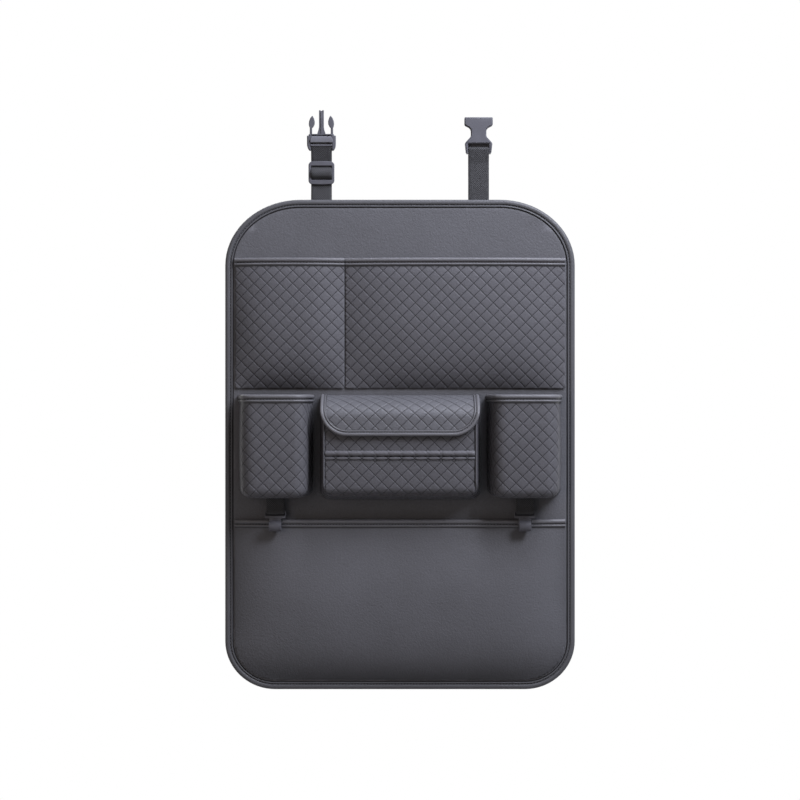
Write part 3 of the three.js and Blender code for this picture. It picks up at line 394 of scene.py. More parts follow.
def worn_and_highlit_edges(nodes, links, colour, pale, first_paler, palest, share):
    """The colour with a share of a paler one on edges that stick out: rubbed wear there, and a painted
    highlight.
    """
    shape = nodes.new("ShaderNodeNewGeometry")
    paling = nodes.new("ShaderNodeMapRange")
    paling.inputs["From Min"].default_value = first_paler
    paling.inputs["From Max"].default_value = palest
    paling.inputs["To Max"].default_value = share
    links.new(shape.outputs["Pointiness"], paling.inputs["Value"])
    paler = nodes.new("ShaderNodeMix")
    paler.data_type = "RGBA"
    paler.inputs["B"].default_value = (*pale, 1)
    links.new(colour, paler.inputs["A"])
    links.new(paling.outputs["Result"], paler.inputs["Factor"])
    return paler.outputs["Result"]


def leather_finish(name, dark, light, roughness=0.46, grain=1.0, gloss=0.1):
    """Imitation leather: fine grain, a soft uneven sheen, painted shade in pressed lines and gaps, and paler
    pointed edges, which are rubbed wear and a painted highlight.
    """
    finish, nodes, links, shader = new_finish(name)
    place = nodes.new("ShaderNodeTexCoord")
    cloud = noise(nodes, 22, 3)
    speckle = noise(nodes, 620, 4)
    creases = noise(nodes, 420, 4)
    pebbles = nodes.new("ShaderNodeTexVoronoi")
    pebbles.feature = "DISTANCE_TO_EDGE"
    pebbles.inputs["Scale"].default_value = 720
    for texture in (cloud, speckle, pebbles, creases):
        links.new(place.outputs["Object"], texture.inputs["Vector"])
    tone = worked_out(nodes, links, "ADD", ranged(nodes, links, cloud.outputs["Fac"], 0, 0.6),
                      ranged(nodes, links, speckle.outputs["Fac"], -0.2, 0.6))
    colour = blend_colours(nodes, links, tone, dark, light)
    # Marked points, in pressed lines, stitch grooves, gaps under raised edges and near seams, are darkened
    # towards a dark colour: painted shade.
    pressed_shade = nodes.new("ShaderNodeAttribute")
    pressed_shade.attribute_name = "pressed_shade"
    shade = nodes.new("ShaderNodeMix")
    shade.data_type = "RGBA"
    shade.inputs["B"].default_value = (*[0.3 * value for value in dark], 1)
    links.new(colour, shade.inputs["A"])
    links.new(worked_out(nodes, links, "MULTIPLY", pressed_shade.outputs["Fac"], 0.92), shade.inputs["Factor"])
    # Pointed edges are paler: rubbed wear, and a painted highlight.
    pale = [min(1, 1.9 * value) for value in light]
    worn = worn_and_highlit_edges(nodes, links, shade.outputs["Result"], pale, 0.53, 0.62, 0.3)
    links.new(worn, shader.inputs["Base Color"])
    broad_gloss = ranged(nodes, links, cloud.outputs["Fac"], roughness - 0.06, roughness + 0.06)
    fine_gloss = ranged(nodes, links, speckle.outputs["Fac"], -0.05, 0.05)
    links.new(worked_out(nodes, links, "ADD", broad_gloss, fine_gloss), shader.inputs["Roughness"])
    shader.inputs["Specular IOR Level"].default_value = gloss
    pits = worked_out(nodes, links, "MINIMUM", pebbles.outputs["Distance"], 0.25)
    dots = worked_out(nodes, links, "MULTIPLY", speckle.outputs["Fac"], 0.6)
    folds = worked_out(nodes, links, "MULTIPLY", creases.outputs["Fac"], 1.8)
    height = worked_out(nodes, links, "ADD", worked_out(nodes, links, "ADD", pits, dots), folds)
    bumped(nodes, links, shader, height, 0.6 * grain, 0.0003)
    return finish


smooth_leather = leather_finish("smooth_leather", (0.062, 0.062, 0.067), (0.090, 0.090, 0.099), grain=1.3)
face_outline = anticlockwise(panel_outline(face_inset))
face_points, face_faces = clipped_grid(panel_across, panel_up, face_outline)
face_x, face_z = face_points.T


def inset_from_panel(x, z):
    """Distance of points from the panel's edge, about right near it."""
    x = np.abs(x)
    inset = np.minimum(panel_half_width - x, panel_half_height - np.abs(z))
    for end, (width, height) in ((1, top_corner), (-1, bottom_corner)):
        across = (x - (panel_half_width - width)) / width
        up = (end * z - (panel_half_height - height)) / height
        in_corner = (across > 0) & (up > 0)
        reach = (1 - np.hypot(across, up)) * min(width, height)
        inset = np.where(in_corner, reach, inset)
    return inset


def panel_ripple(x, z):
    """Slight waves of the leather where it isn't held down."""
    return 0.22 * np.sin(x / 47 + 1.3) * np.sin(z / 39) + 0.15 * np.sin(x / 23 + z / 31)


free = np.clip((inset_from_panel(face_x, face_z) - held_flat_to) / free_beyond, 0, 1)
face_heights = face_front + panel_ripple(face_x, face_z) * free
face_places = np.column_stack([face_x, face_heights, face_z])
face_panel = make_piece("leather_face", face_places, face_faces, [smooth_leather])
thickened(face_panel, face_thickness)
rolled = face_panel.modifiers.new("rolled_edge", "BEVEL")
rolled.width = face_edge_round * 0.001
rolled.segments = 3
rolled.limit_method = "ANGLE"
rolled.angle_limit = math.radians(50)
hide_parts("face_panel")

# Edge binding
# A strip of leather folded round the panel's edge and sewn through with one row of stitches, which shows on
# the front and on the back. The folded edge stands up as a thin ridge inside the stitches. Its leather is
# coloured darker than the face's as painted shade, against the light that its rolled edge catches.

path_step = 6
thread_pitch = 3.7
# The binding's leather is a darker copy of the face's leather: painted shade against the light on its rolled
# edge.
binding_leather = leather_finish("binding_leather", (0.049, 0.049, 0.053), (0.069, 0.069, 0.075), 0.42,
                                 gloss=0.16)
thread_finish, nodes, links, shader = new_finish("sewing_thread")
twist = nodes.new("ShaderNodeTexWave")
twist.inputs["Scale"].default_value = 700
twist.inputs["Distortion"].default_value = 2
links.new(nodes.new("ShaderNodeTexCoord").outputs["Object"], twist.inputs["Vector"])
links.new(blend_colours(nodes, links, twist.outputs["Fac"], (0.03, 0.03, 0.033), (0.10, 0.10, 0.11)),
          shader.inputs["Base Color"])
shader.inputs["Roughness"].default_value = 0.6
bumped(nodes, links, shader, twist.outputs["Fac"], 0.5, 0.0001)


def filled_in(outline, spacing):
    """The closed outline with more points along its long straight sides."""
    points = []
    for index, start in enumerate(outline):
        end = outline[(index + 1) % len(outline)]
        steps = max(1, round(math.dist(start, end) / spacing))
        for step in range(steps):
            share = step / steps
            points.append((start[0] + (end[0] - start[0]) * share, start[1] + (end[1] - start[1]) * share))
    return points


def flat_front(x, z, height):
    """A surface flat on the panel's front."""
    return np.column_stack([x, face_front + height, z])


def path_normals(path, closed):
    """Unit normals to the left of a flat path."""
    path = np.asarray(path, dtype=float)
    if closed:
        along = np.roll(path, -1, axis=0) - np.roll(path, 1, axis=0)
    else:
        along = np.gradient(path, axis=0)
    along /= np.linalg.norm(along, axis=1)[:, None]
    return np.column_stack([-along[:, 1], along[:, 0]])


def running_length(path):
    """How far along the path each of its points is."""
    return np.concatenate([[0], np.cumsum(np.linalg.norm(np.diff(path, axis=0), axis=1))])


def swept(path, section, surface, closed):
    """Points and faces of a section, as insets to the path's left and heights, carried along the path."""
    path = np.asarray(path, dtype=float)
    normals = path_normals(path, closed)
    points = []
    for inset, height in section:
        line = path + normals * inset
        points.append(surface(line[:, 0], line[:, 1], np.full(len(path), float(height))))
    points = np.concatenate(points)
    count = len(path)
    faces = []
    for row in range(len(section) - 1):
        for step in range(count if closed else count - 1):
            after = (step + 1) % count
            low = row * count
            faces.append((low + step, low + after, low + count + after, low + count + step))
    return points, faces


def stitched(path, inset, height, surface, closed, length=2.7, width=0.62, pitch=thread_pitch):
    """Points and faces of a row of sewn stitches beside a path, each a small rounded thread."""
    path = np.asarray(path, dtype=float)
    normals = path_normals(path, closed)
    line = path + normals * inset
    if closed:
        line = np.vstack([line, line[:1]])
        normals = np.vstack([normals, normals[:1]])
    lengths = running_length(line)
    count = max(1, int(lengths[-1] / pitch))
    points, faces = [], []
    rings = ((-0.5, 0.35), (-0.3, 0.9), (0, 1.0), (0.3, 0.9), (0.5, 0.35))
    sides = 6
    for index in range(count):
        middle = (index + 0.5) * lengths[-1] / count
        first = len(points) * len(rings) * sides
        along_places = np.array([middle + share * length for share, _ in rings])
        x = np.interp(along_places, lengths, line[:, 0])
        z = np.interp(along_places, lengths, line[:, 1])
        out_x = np.interp(along_places, lengths, normals[:, 0])
        out_z = np.interp(along_places, lengths, normals[:, 1])
        flat_x, flat_z, heights = [], [], []
        for ring, (share, size) in enumerate(rings):
            for side in range(sides):
                turn = side / sides * 2 * math.pi
                across = math.cos(turn) * width / 2 * size
                flat_x.append(x[ring] + out_x[ring] * across)
                flat_z.append(z[ring] + out_z[ring] * across)
                dips = 0.35 * (1 - size)
                heights.append(height + (math.sin(turn) * 0.5 * size - dips) * width)
        points.append(surface(np.array(flat_x), np.array(flat_z), np.array(heights)))
        for ring in range(len(rings) - 1):
            for side in range(sides):
                corner = first + ring * sides + side
                after = first + ring * sides + (side + 1) % sides
                faces.append((corner, after, after + sides, corner + sides))
        faces.append([first + side for side in range(sides)][::-1])
        last = first + (len(rings) - 1) * sides
        faces.append([last + side for side in range(sides)])
    return np.concatenate(points), faces


def joined(parts):
    """One set of points, faces and finish numbers from several (points, faces, finish number)."""
    points, faces, finishes = [], [], []
    for part_points, part_faces, finish in parts:
        start = sum(len(each) for each in points)
        points.append(np.asarray(part_points))
        faces += [[index + start for index in face] for face in part_faces]
        finishes += [finish] * len(part_faces)
    return np.concatenate(points), faces, finishes


def pressed_shade_rows(section, path, points):
    """How much painted shade darkens each point: the third number of the section's rows, and none in the
    stitches.
    """
    rows = np.repeat([pressed_shade for _, _, pressed_shade in section], len(path))
    return np.concatenate([rows, np.zeros(len(points) - len(rows))])


# Rows of a section: inset from the edge, front distance or height, and how much painted shade darkens the
# leather there.
# The stitch groove and the gap inside the binding's ridge are marked, so that shadow is painted into them.
binding_section = [
    (10.4, 1.6, 0), (10.3, 0.5, 0), (9.8, 0.05, 0), (8.6, 0.0, 0), (7.6, 0.1, 0.5), (7.0, 0.5, 1),
    (6.4, 0.1, 0.5), (4.6, 0.0, 0), (2.6, 0.1, 0), (1.3, 0.6, 0), (0.45, 1.5, 0), (0.0, 2.8, 0),
    (0.2, 4.1, 0), (0.9, 5.25, 0), (2.0, 6.0, 0), (3.4, 6.35, 0), (4.8, 6.25, 0), (5.6, 5.8, 0),
    (6.1, 5.1, 0.8), (6.5, 4.75, 1), (6.9, 5.0, 0.8), (7.3, 5.6, 0), (7.9, 6.0, 0), (8.5, 5.95, 0),
    (9.0, 5.4, 0.4), (9.3, 4.8, 1), (9.7, 4.5, 1), (10.6, 4.5, 1), (11.2, 4.6, 1),
]
edge_path = anticlockwise(filled_in(panel_outline(0), path_step))
edge_rows = [(inset, front - face_front) for inset, front, _ in binding_section]
band = swept(edge_path, edge_rows, flat_front, True)
front_groove = 6.5
back_groove = 7.0
front_stitches = stitched(edge_path, front_groove, 4.95 - face_front, flat_front, True)
back_stitches = stitched(edge_path, back_groove, 0.35 - face_front, flat_front, True)
points, faces, finish_of_faces = joined([(*band, 0), (*front_stitches, 1), (*back_stitches, 1)])
edge_binding = make_piece("edge_band", points, faces, [binding_leather, thread_finish], finish_of_faces,
                          marks={"pressed_shade": pressed_shade_rows(binding_section, edge_path, points)})
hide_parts("edge_binding")
cut_from(face_panel, face_outline)

# Upper pockets
# Two flat pockets of quilted leather, side by side, sewn down at their sides and bottom and open at the
# top. The quilting is pressed in as crossed lines, and a folded strip is sewn over the mouth.

quilt_cell = 15.5 / math.sqrt(2)
groove_depth = 0.42
groove_width = 0.36
crown_height = 0.1
crown_reach = 2.4
hem_height = 10.8
sheet_drop = 2
sheet_thickness = 1.4
sheet_gap = 0.2
puff_height = 1.3
puff_reach = 5
pocket_inset = 12
pocket_half = panel_half_width - pocket_inset


def quilt_lines(low, high):
    """Grid lines along one direction of the quilting: close beside each pressed line, open between them."""
    steps = (0, 0.2, 0.42, 0.85, 2.6, quilt_cell / 2)
    within = list(steps) + [quilt_cell - step for step in steps[-2:0:-1]]
    first = math.floor(low / quilt_cell)
    last = math.ceil(high / quilt_cell)
    return np.array([cell * quilt_cell + place for cell in range(first, last) for place in within])


def quilt_relief(x, z, middle=(0, 0)):
    """Height of the quilting at flat points, and how deep in a pressed line each one is, from 0 to 1, which
    also sets how much painted shade darkens it.
    """
    rising = ((x - middle[0]) + (z - middle[1])) / math.sqrt(2)
    falling = ((z - middle[1]) - (x - middle[0])) / math.sqrt(2)
    near = [quilt_cell / 2 - np.abs((line / quilt_cell) % 1 - 0.5) * quilt_cell
            for line in (rising, falling)]
    pressed_shade = [np.exp(-(distance / groove_width) ** 2) for distance in near]
    deep = np.maximum(pressed_shade[0], pressed_shade[1])
    crown = crown_height * np.minimum(1, near[0] / crown_reach) * np.minimum(1, near[1] / crown_reach)
    return crown - groove_depth * deep, deep


def quilted_piece(name, outline, surface, finish, middle=(0, 0), fade=None):
    """A quilted sheet cut to a convex flat outline and laid on a surface given as x, z and height."""
    outline = anticlockwise(outline)
    shifted = [(x - middle[0], z - middle[1]) for x, z in outline]
    turned = [((x + z) / math.sqrt(2), (z - x) / math.sqrt(2)) for x, z in shifted]
    low = np.min(turned, axis=0)
    high = np.max(turned, axis=0)
    flat, faces = clipped_grid(quilt_lines(low[0], high[0]), quilt_lines(low[1], high[1]), shifted,
                               math.pi / 4)
    x = flat[:, 0] + middle[0]
    z = flat[:, 1] + middle[1]
    relief, deep = quilt_relief(x, z, middle)
    if fade is not None:
        share = fade(x, z)
        relief = relief * share
        deep = deep * share
    # The pressed lines are painted darker as shade, by their depth.
    made = make_piece(name, surface(x, z, relief), faces, [finish], marks={"pressed_shade": deep})
    return thickened(made, sheet_thickness)


def laid_on(front_of):
    """A surface over the panel from its front distance at x and z, with heights measured square to it."""
    def surface(x, z, height):
        step = 0.05
        front = front_of(x, z)
        slope_x = (front_of(x + step, z) - front_of(x - step, z)) / (2 * step)
        slope_z = (front_of(x, z + step) - front_of(x, z - step)) / (2 * step)
        size = np.sqrt(1 + slope_x ** 2 + slope_z ** 2)
        raised = height / size
        return np.column_stack([x - raised * slope_x, front + raised, z - raised * slope_z])
    return surface


def pocket_front(left, right, top, bottom, mouth, belly, lowest, roundness):
    """Front distance of a pocket's sheet, held down at its sides and bottom and puffed below its strip."""
    quilt_top = top - hem_height

    def front_of(x, z):
        edge_left = left(z) if callable(left) else left
        edge_right = right(z) if callable(right) else right
        across = np.clip((x - edge_left) / (edge_right - edge_left), 0, 1)
        down = np.clip((quilt_top - z) / (quilt_top - bottom), 0, 1)
        depth = mouth + (belly - mouth) * np.sin(math.pi / 2 * np.minimum(1, down / lowest))
        puff = puff_height * (1 - np.exp(-np.maximum(0, quilt_top - z) / puff_reach))
        pillow = 1 - np.abs(2 * across - 1) ** roundness
        return face_front + sheet_thickness + sheet_gap + (depth + puff) * (1 - down ** 6) * pillow
    return front_of


# The hem's stitch groove and the gap under its lower edge are marked, so that shadow is painted into them.
hem_section = [
    (10.3, -2.9, 0), (6.0, -2.95, 0), (2.0, -2.8, 0), (0.6, -2.2, 0), (0.05, -1.1, 0), (0.1, 0.2, 0),
    (0.6, 1.3, 0), (1.5, 2.1, 0), (2.7, 2.4, 0), (3.9, 2.1, 0), (4.8, 1.4, 0.1), (5.4, 0.6, 0.8),
    (5.8, 0.2, 1), (6.2, 0.5, 0.8), (6.7, 1.2, 0), (7.4, 1.6, 0), (8.2, 1.5, 0), (8.9, 0.9, 0.3),
    (9.3, 0.3, 1), (9.8, 0.25, 1), (10.6, 0.2, 1), (10.8, -0.4, 1),
]
quilted_leather = leather_finish("quilted_leather", (0.054, 0.053, 0.058), (0.080, 0.079, 0.087))
# The strips' leather is a lighter copy of the same leather: painted light for the light that their rolls
# catch.
hem_leather = leather_finish("hem_leather", (0.074, 0.073, 0.079), (0.101, 0.100, 0.108), 0.40, gloss=0.16)


def hem_piece(name, path, surface, section=hem_section, stitch_inset=5.8, stitch_height=0.4):
    """A folded strip along a flat path, which runs so that the pocket is on its left."""
    band = swept(path, [(inset, height) for inset, height, _ in section], surface, False)
    ends = []
    count = len(path)
    for step in (0, count - 1):
        ring = [row * count + step for row in range(len(section))]
        ends.append(ring[::-1] if step == 0 else ring)
    row = stitched(path, stitch_inset, stitch_height, surface, False)
    points, faces, finish_of_faces = joined([(band[0], band[1] + ends, 0), (*row, 1)])
    made = make_piece(name, points, faces, [hem_leather, thread_finish], finish_of_faces,
                      marks={"pressed_shade": pressed_shade_rows(section, path, points)})
    return made


upper_top = 223.8
upper_bottom = 67.2
divide = -66
divide_gap = 0.6


def arc(middle, radius, start, end, steps):
    """Points of an arc between two angles in degrees."""
    turns = [math.radians(start + (end - start) * step / steps) for step in range(steps + 1)]
    return [(middle[0] + radius * math.cos(turn), middle[1] + radius * math.sin(turn)) for turn in turns]


def upper_pocket(side, left, right, middle):
    """A pocket between two places across, whose quilting starts from its middle point."""
    front_of = pocket_front(left, right, upper_top, upper_bottom,
                            mouth=7.5, belly=13, lowest=0.62, roundness=2.8)
    surface = laid_on(front_of)
    corner = 2.5
    low = upper_bottom + corner
    outline = [(left, upper_top - sheet_drop), (right, upper_top - sheet_drop)]
    outline += arc((right - corner, low), corner, 0, -90, 4)
    outline += arc((left + corner, low), corner, -90, -180, 4)
    sheet = quilted_piece("quilted_pocket_" + side, outline, surface, quilted_leather, middle)
    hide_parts("upper_" + side + "_pocket")
    path = [(x, upper_top) for x in np.linspace(right, left, round((right - left) / 4))]
    hem = hem_piece("pocket_strip_" + side, path, surface)
    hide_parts("upper_" + side + "_hem")
    cut_from(sheet, outline)


upper_pocket("left", -pocket_half, divide - divide_gap, (-112.9, 208.0))
upper_pocket("right", divide + divide_gap, pocket_half, (-5.1, 208.0))

# Bottom pocket
# One wide pocket of smooth leather across the whole width, with the panel's rounded lower corners.
# It is sewn down round its sides and bottom, and is painted darker as shade towards its bottom and its seam.

lower_top = -89.4
lower_bottom = -282
lower_corner_height = bottom_corner[1] - pocket_inset
fine_step = 2.5


def lower_half_width(z):
    """Half width of the panel inside the binding at a height below its middle."""
    width = bottom_corner[0] - pocket_inset
    past = np.clip((-z - (panel_half_height - bottom_corner[1])) / lower_corner_height, 0, 1)
    return pocket_half - width + width * np.sqrt(1 - past ** 2)


lower_front = pocket_front(lambda z: -lower_half_width(z), lower_half_width, lower_top, lower_bottom,
                           mouth=7.5, belly=18.5, lowest=0.5, roundness=4.5)
lower_surface = laid_on(lower_front)
lower_outline = [(-pocket_half, lower_top - sheet_drop), (-pocket_half, lower_bottom + lower_corner_height)]
for step in range(1, corner_points):
    z = lower_bottom + lower_corner_height * (1 - math.sin(step / corner_points * math.pi / 2))
    lower_outline.append((-float(lower_half_width(z)), z))
lower_outline += [(bottom_corner[0] - panel_half_width, lower_bottom)]
lower_outline += [(-x, z) for x, z in lower_outline[::-1]]
lower_across = np.arange(-200, 201, fine_step)
lower_up = np.arange(-284, -84, fine_step)
lower_flat, lower_faces = clipped_grid(lower_across, lower_up, anticlockwise(lower_outline))
lower_x, lower_z = lower_flat.T
wrinkle = 0.35 * np.sin(lower_x / 37 + 0.6) * np.sin(lower_z / 29)
from_bottom = lower_z - lower_bottom
from_seam = np.maximum(0, inset_from_panel(lower_x, lower_z) - pocket_inset)
# Painted shade: the pocket is darkened near its bottom and along its sewn edge.
painted_shade_near_seam = 0.5 * np.exp(-(from_bottom / 20) ** 2) + 0.25 * np.exp(-from_seam / 9)
lower_places = lower_surface(lower_x, lower_z, wrinkle)
lower_pocket = make_piece("wide_pocket", lower_places, lower_faces, [smooth_leather],
                          marks={"pressed_shade": painted_shade_near_seam})
thickened(lower_pocket, sheet_thickness)
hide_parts("bottom_pocket")
lower_path = [(x, lower_top) for x in np.linspace(pocket_half, -pocket_half, 100)]
lower_hem = hem_piece("wide_pocket_strip", lower_path, lower_surface)
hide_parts("bottom_hem")
cut_from(lower_pocket, lower_outline)

# Cup pouches
# Two deep pouches of quilted leather. Each is one wall bent round in plan, sewn to the panel at both
# sides and turned in at its bottom over a flat base, with a folded strip round its mouth.

cup_middle = 148.8
cup_top = 60
cup_bottom = -62
cup_base = 43.8
cup_face = 38.5
cup_front = 55.6
cup_corner = 17
cup_turn = 10
cup_bow = 2.6
cup_bulge = 1.2
cup_base_rise = 0.6
cup_base_thickness = 1.0
least_gap = 0.3
cup_quilt_middle = (2.8, 33.1)


def plan_line():
    """The wall's plan from the left side round to the right, as close points of x and front distance."""
    start = np.array([-cup_face, cup_front - cup_corner])
    bend = np.array([-cup_face, cup_front])
    end = np.array([cup_corner - cup_face, cup_front])
    points = [(-cup_base, face_front), tuple(start)]
    for step in range(1, 25):
        share = step / 24
        points.append(tuple((1 - share) ** 2 * start + 2 * share * (1 - share) * bend + share ** 2 * end))
    points += [(-x, front) for x, front in points[::-1]]
    return np.array(points)


cup_plan = plan_line()
cup_lengths = running_length(cup_plan)
cup_around = cup_lengths[-1]
even = np.linspace(0, cup_around, 241)
even_plan = np.column_stack([np.interp(even, cup_lengths, cup_plan[:, axis]) for axis in (0, 1)])
even_plan[:, 1] += cup_bow * np.clip(1 - (even_plan[:, 0] / cup_face) ** 2, 0, 1)
# The directions out of the wall are evened out, so that nothing folds where it bends.
even_out = path_normals(even_plan, False)
for _ in range(6):
    even_out[1:-1] = (even_out[:-2] + even_out[1:-1] * 2 + even_out[2:]) / 4
    even_out /= np.linalg.norm(even_out, axis=1)[:, None]


def cup_surface(middle):
    """The pouch's wall from the distance round it, the height and the distance out of it."""
    straight = cup_bottom + cup_turn

    def surface(around, z, height):
        around = around + cup_around / 2
        x = np.interp(around, even, even_plan[:, 0])
        front = np.interp(around, even, even_plan[:, 1])
        out_x = np.interp(around, even, even_out[:, 0])
        out_front = np.interp(around, even, even_out[:, 1])
        past = np.clip(straight - z, 0, None)
        turn = np.minimum(past / cup_turn, math.pi / 2)
        beyond = np.clip(past - cup_turn * math.pi / 2, 0, None)
        inward = cup_turn * (1 - np.cos(turn)) + beyond
        level = np.where(past > 0, straight - cup_turn * np.sin(turn), z)
        share = np.clip((cup_top - z) / (cup_top - cup_bottom), 0, 1)
        bulge = cup_bulge * np.sin(math.pi * share) - inward + height * np.cos(turn)
        front = np.maximum(face_front + least_gap, front + out_front * bulge)
        return np.column_stack([middle + x + out_x * bulge, front, level - height * np.sin(turn)])
    return surface


def cup_pouch(side, middle):
    """One pouch about its middle across: its wall, the strip round its mouth and its base."""
    surface = cup_surface(middle)
    reach = cup_around / 2
    low = cup_bottom + cup_turn - cup_turn * math.pi / 2 - 2
    high = cup_top - sheet_drop
    outline = [(-reach, high), (-reach, low), (reach, low), (reach, high)]
    wall = quilted_piece("quilted_cup_" + side, outline, surface, quilted_leather, cup_quilt_middle)
    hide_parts("cup_pouch_" + side)
    path = [(around, cup_top) for around in np.linspace(reach, -reach, 84)]
    hem = hem_piece("cup_strip_" + side, path, surface)
    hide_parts("cup_hem_" + side)
    inward = cup_turn + 1
    ring = even_plan - even_out * inward
    ring[:, 1] = np.maximum(face_front + least_gap, ring[:, 1])
    points = [(middle + x, front, cup_bottom + cup_base_rise) for x, front in ring[::4]]
    base = make_piece("cup_base_" + side, points, [list(range(len(points)))], [smooth_leather], smooth=False)
    thickened(base, cup_base_thickness)
    cut_from(wall, outline)


cup_pouch("left", -cup_middle)
cup_pouch("right", cup_middle)

# Bag hooks
# Under each cup pouch a loop of black webbing, sewn in at the pouch's bottom, holds a moulded hook of
# black plastic, whose top bar turns in the loop.

webbing_thickness = 1.2
webbing = woven_finish("webbing", (0.008, 0.008, 0.009), (0.064, 0.064, 0.068), 0.0016, 0.6, slanted=True)


def rounded_path(path, radius=1.2, steps=4):
    """The open path with its inner corners rounded off."""
    path = [np.array(point, dtype=float) for point in path]
    points = [path[0]]
    for before, corner, after in zip(path, path[1:], path[2:]):
        reach = min(radius, 0.45 * np.linalg.norm(before - corner), 0.45 * np.linalg.norm(after - corner))
        start = corner + (before - corner) / np.linalg.norm(before - corner) * reach
        end = corner + (after - corner) / np.linalg.norm(after - corner) * reach
        for step in range(steps + 1):
            share = step / steps
            points.append((1 - share) ** 2 * start + 2 * share * (1 - share) * corner + share ** 2 * end)
    points.append(path[-1])
    return np.array(points)


def webbing_piece(name, path, middle, width):
    """Flat webbing along a path of front distance and height, with its own thickness and rounded edges."""
    same_place = 0.02
    spacing = 2.0
    path = np.array([point for index, point in enumerate(path)
                     if index == 0 or math.dist(point, path[index - 1]) > same_place])
    closer = [path[0]]
    for start, end in zip(path, path[1:]):
        steps = max(1, int(math.dist(start, end) / spacing))
        closer += [start + (end - start) * (step + 1) / steps for step in range(steps)]
    path = np.array(closer)
    normals = path_normals(path, False)
    lengths = running_length(path)
    half = width / 2
    thick = webbing_thickness / 2
    edge_round = 0.35
    across = np.linspace(edge_round - half, half - edge_round, 9)
    ring = [(x, thick) for x in across] + [(half, thick * 0.4), (half, -thick * 0.4)]
    ring += [(x, -thick) for x in across[::-1]] + [(-half, -thick * 0.4), (-half, thick * 0.4)]
    points, weave, faces = [], [], []
    count = len(ring)
    for place, normal, length in zip(path, normals, lengths):
        for x, out in ring:
            points.append((middle + x, place[0] + normal[0] * out, place[1] + normal[1] * out))
            weave.append((x, length))
    for step in range(len(path) - 1):
        for index in range(count):
            after = (index + 1) % count
            low = step * count
            faces.append((low + index, low + after, low + count + after, low + count + index))
    faces.append(list(range(count))[::-1])
    faces.append([(len(path) - 1) * count + index for index in range(count)])
    made = make_piece(name, points, faces, [webbing], weave=weave)
    return made


def moulded(outline, holes, low, high, rounding, sideways=False, segments=3):
    """Points and faces of a moulded plate with rounded rims, from x and z, or sideways from front and z."""
    curve = bpy.data.curves.new("moulding", "CURVE")
    curve.dimensions = "2D"
    curve.fill_mode = "BOTH"
    curve.extrude = (high - low) / 2 - rounding
    curve.bevel_depth = rounding
    curve.bevel_resolution = segments - 1
    curve.offset = -rounding
    for loop in [outline, *holes]:
        spline = curve.splines.new("POLY")
        spline.points.add(len(loop) - 1)
        for point, place in zip(spline.points, loop):
            point.co = (*place, 0, 1)
        spline.use_cyclic_u = True
    shape = bpy.data.objects.new("moulding", curve)
    bpy.context.collection.objects.link(shape)
    mesh = bpy.data.meshes.new_from_object(shape.evaluated_get(bpy.context.evaluated_depsgraph_get()))
    middle = (low + high) / 2
    if sideways:
        points = [(middle + vert.co.z, vert.co.x, vert.co.y) for vert in mesh.vertices]
    else:
        points = [(vert.co.x, middle - vert.co.z, vert.co.y) for vert in mesh.vertices]
    faces = [list(face.vertices) for face in mesh.polygons]
    bpy.data.objects.remove(shape)
    bpy.data.curves.remove(curve)
    bpy.data.meshes.remove(mesh)
    return np.array(points), faces


def round_bar(left, right, front, z, radius, sides=20):
    """Points and faces of a round bar across x."""
    points, faces = [], []
    rings = ((left, radius * 0.8), (left + 0.2, radius), (right - 0.2, radius), (right, radius * 0.8))
    for x, size in rings:
        for side in range(sides):
            turn = side / sides * 2 * math.pi
            points.append((x, front + size * math.cos(turn), z + size * math.sin(turn)))
    for ring in range(len(rings) - 1):
        for side in range(sides):
            corner = ring * sides + side
            after = ring * sides + (side + 1) % sides
            faces.append((corner, after, after + sides, corner + sides))
    faces.append(list(range(sides))[::-1])
    faces.append([(len(rings) - 1) * sides + side for side in range(sides)])
    return np.array(points), faces


moulded_plastic, nodes, links, shader = new_finish("moulded_plastic")
place = nodes.new("ShaderNodeTexCoord")
bloom = noise(nodes, 60, 4)
sparks = noise(nodes, 2600, 2)
links.new(place.outputs["Object"], bloom.inputs["Vector"])
links.new(place.outputs["Object"], sparks.inputs["Vector"])
plain = blend_colours(nodes, links, bloom.outputs["Fac"], (0.054, 0.054, 0.062), (0.083, 0.083, 0.095))
# Pointed edges of the plastic are paler: scuffs, and a painted highlight.
scuffed_and_highlit = worn_and_highlit_edges(nodes, links, plain, (0.15, 0.15, 0.165), 0.54, 0.66, 0.35)
links.new(scuffed_and_highlit, shader.inputs["Base Color"])
links.new(ranged(nodes, links, bloom.outputs["Fac"], 0.32, 0.46), shader.inputs["Roughness"])
shader.inputs["Specular IOR Level"].default_value = 0.12
bumped(nodes, links, shader, sparks.outputs["Fac"], 0.25, 0.00008)


def plastic_piece(name, parts, node, body="root"):
    """A moulded piece from its parts, given as points and faces, in place of a CAD node."""
    points, faces, _ = joined([(*part, 0) for part in parts])
    mesh = bpy.data.meshes.new(name)
    mesh.from_pydata(to_metres(points).tolist(), [], faces)
    mesh.materials.append(moulded_plastic)
    mesh.shade_smooth()
    made = bpy.data.objects.new(name, mesh)
    bpy.context.collection.objects.link(made)
    sharp = made.modifiers.new("crisp_edges", "EDGE_SPLIT")
    sharp.split_angle = math.radians(38)
    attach(made, body)
    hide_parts(node)


def moved(part, x, front, z):
    """The part's points and faces, shifted."""
    points, faces = part
    return points + np.array([x, front, z]), faces


tab_front = 19.6
hook_axis = -80.5


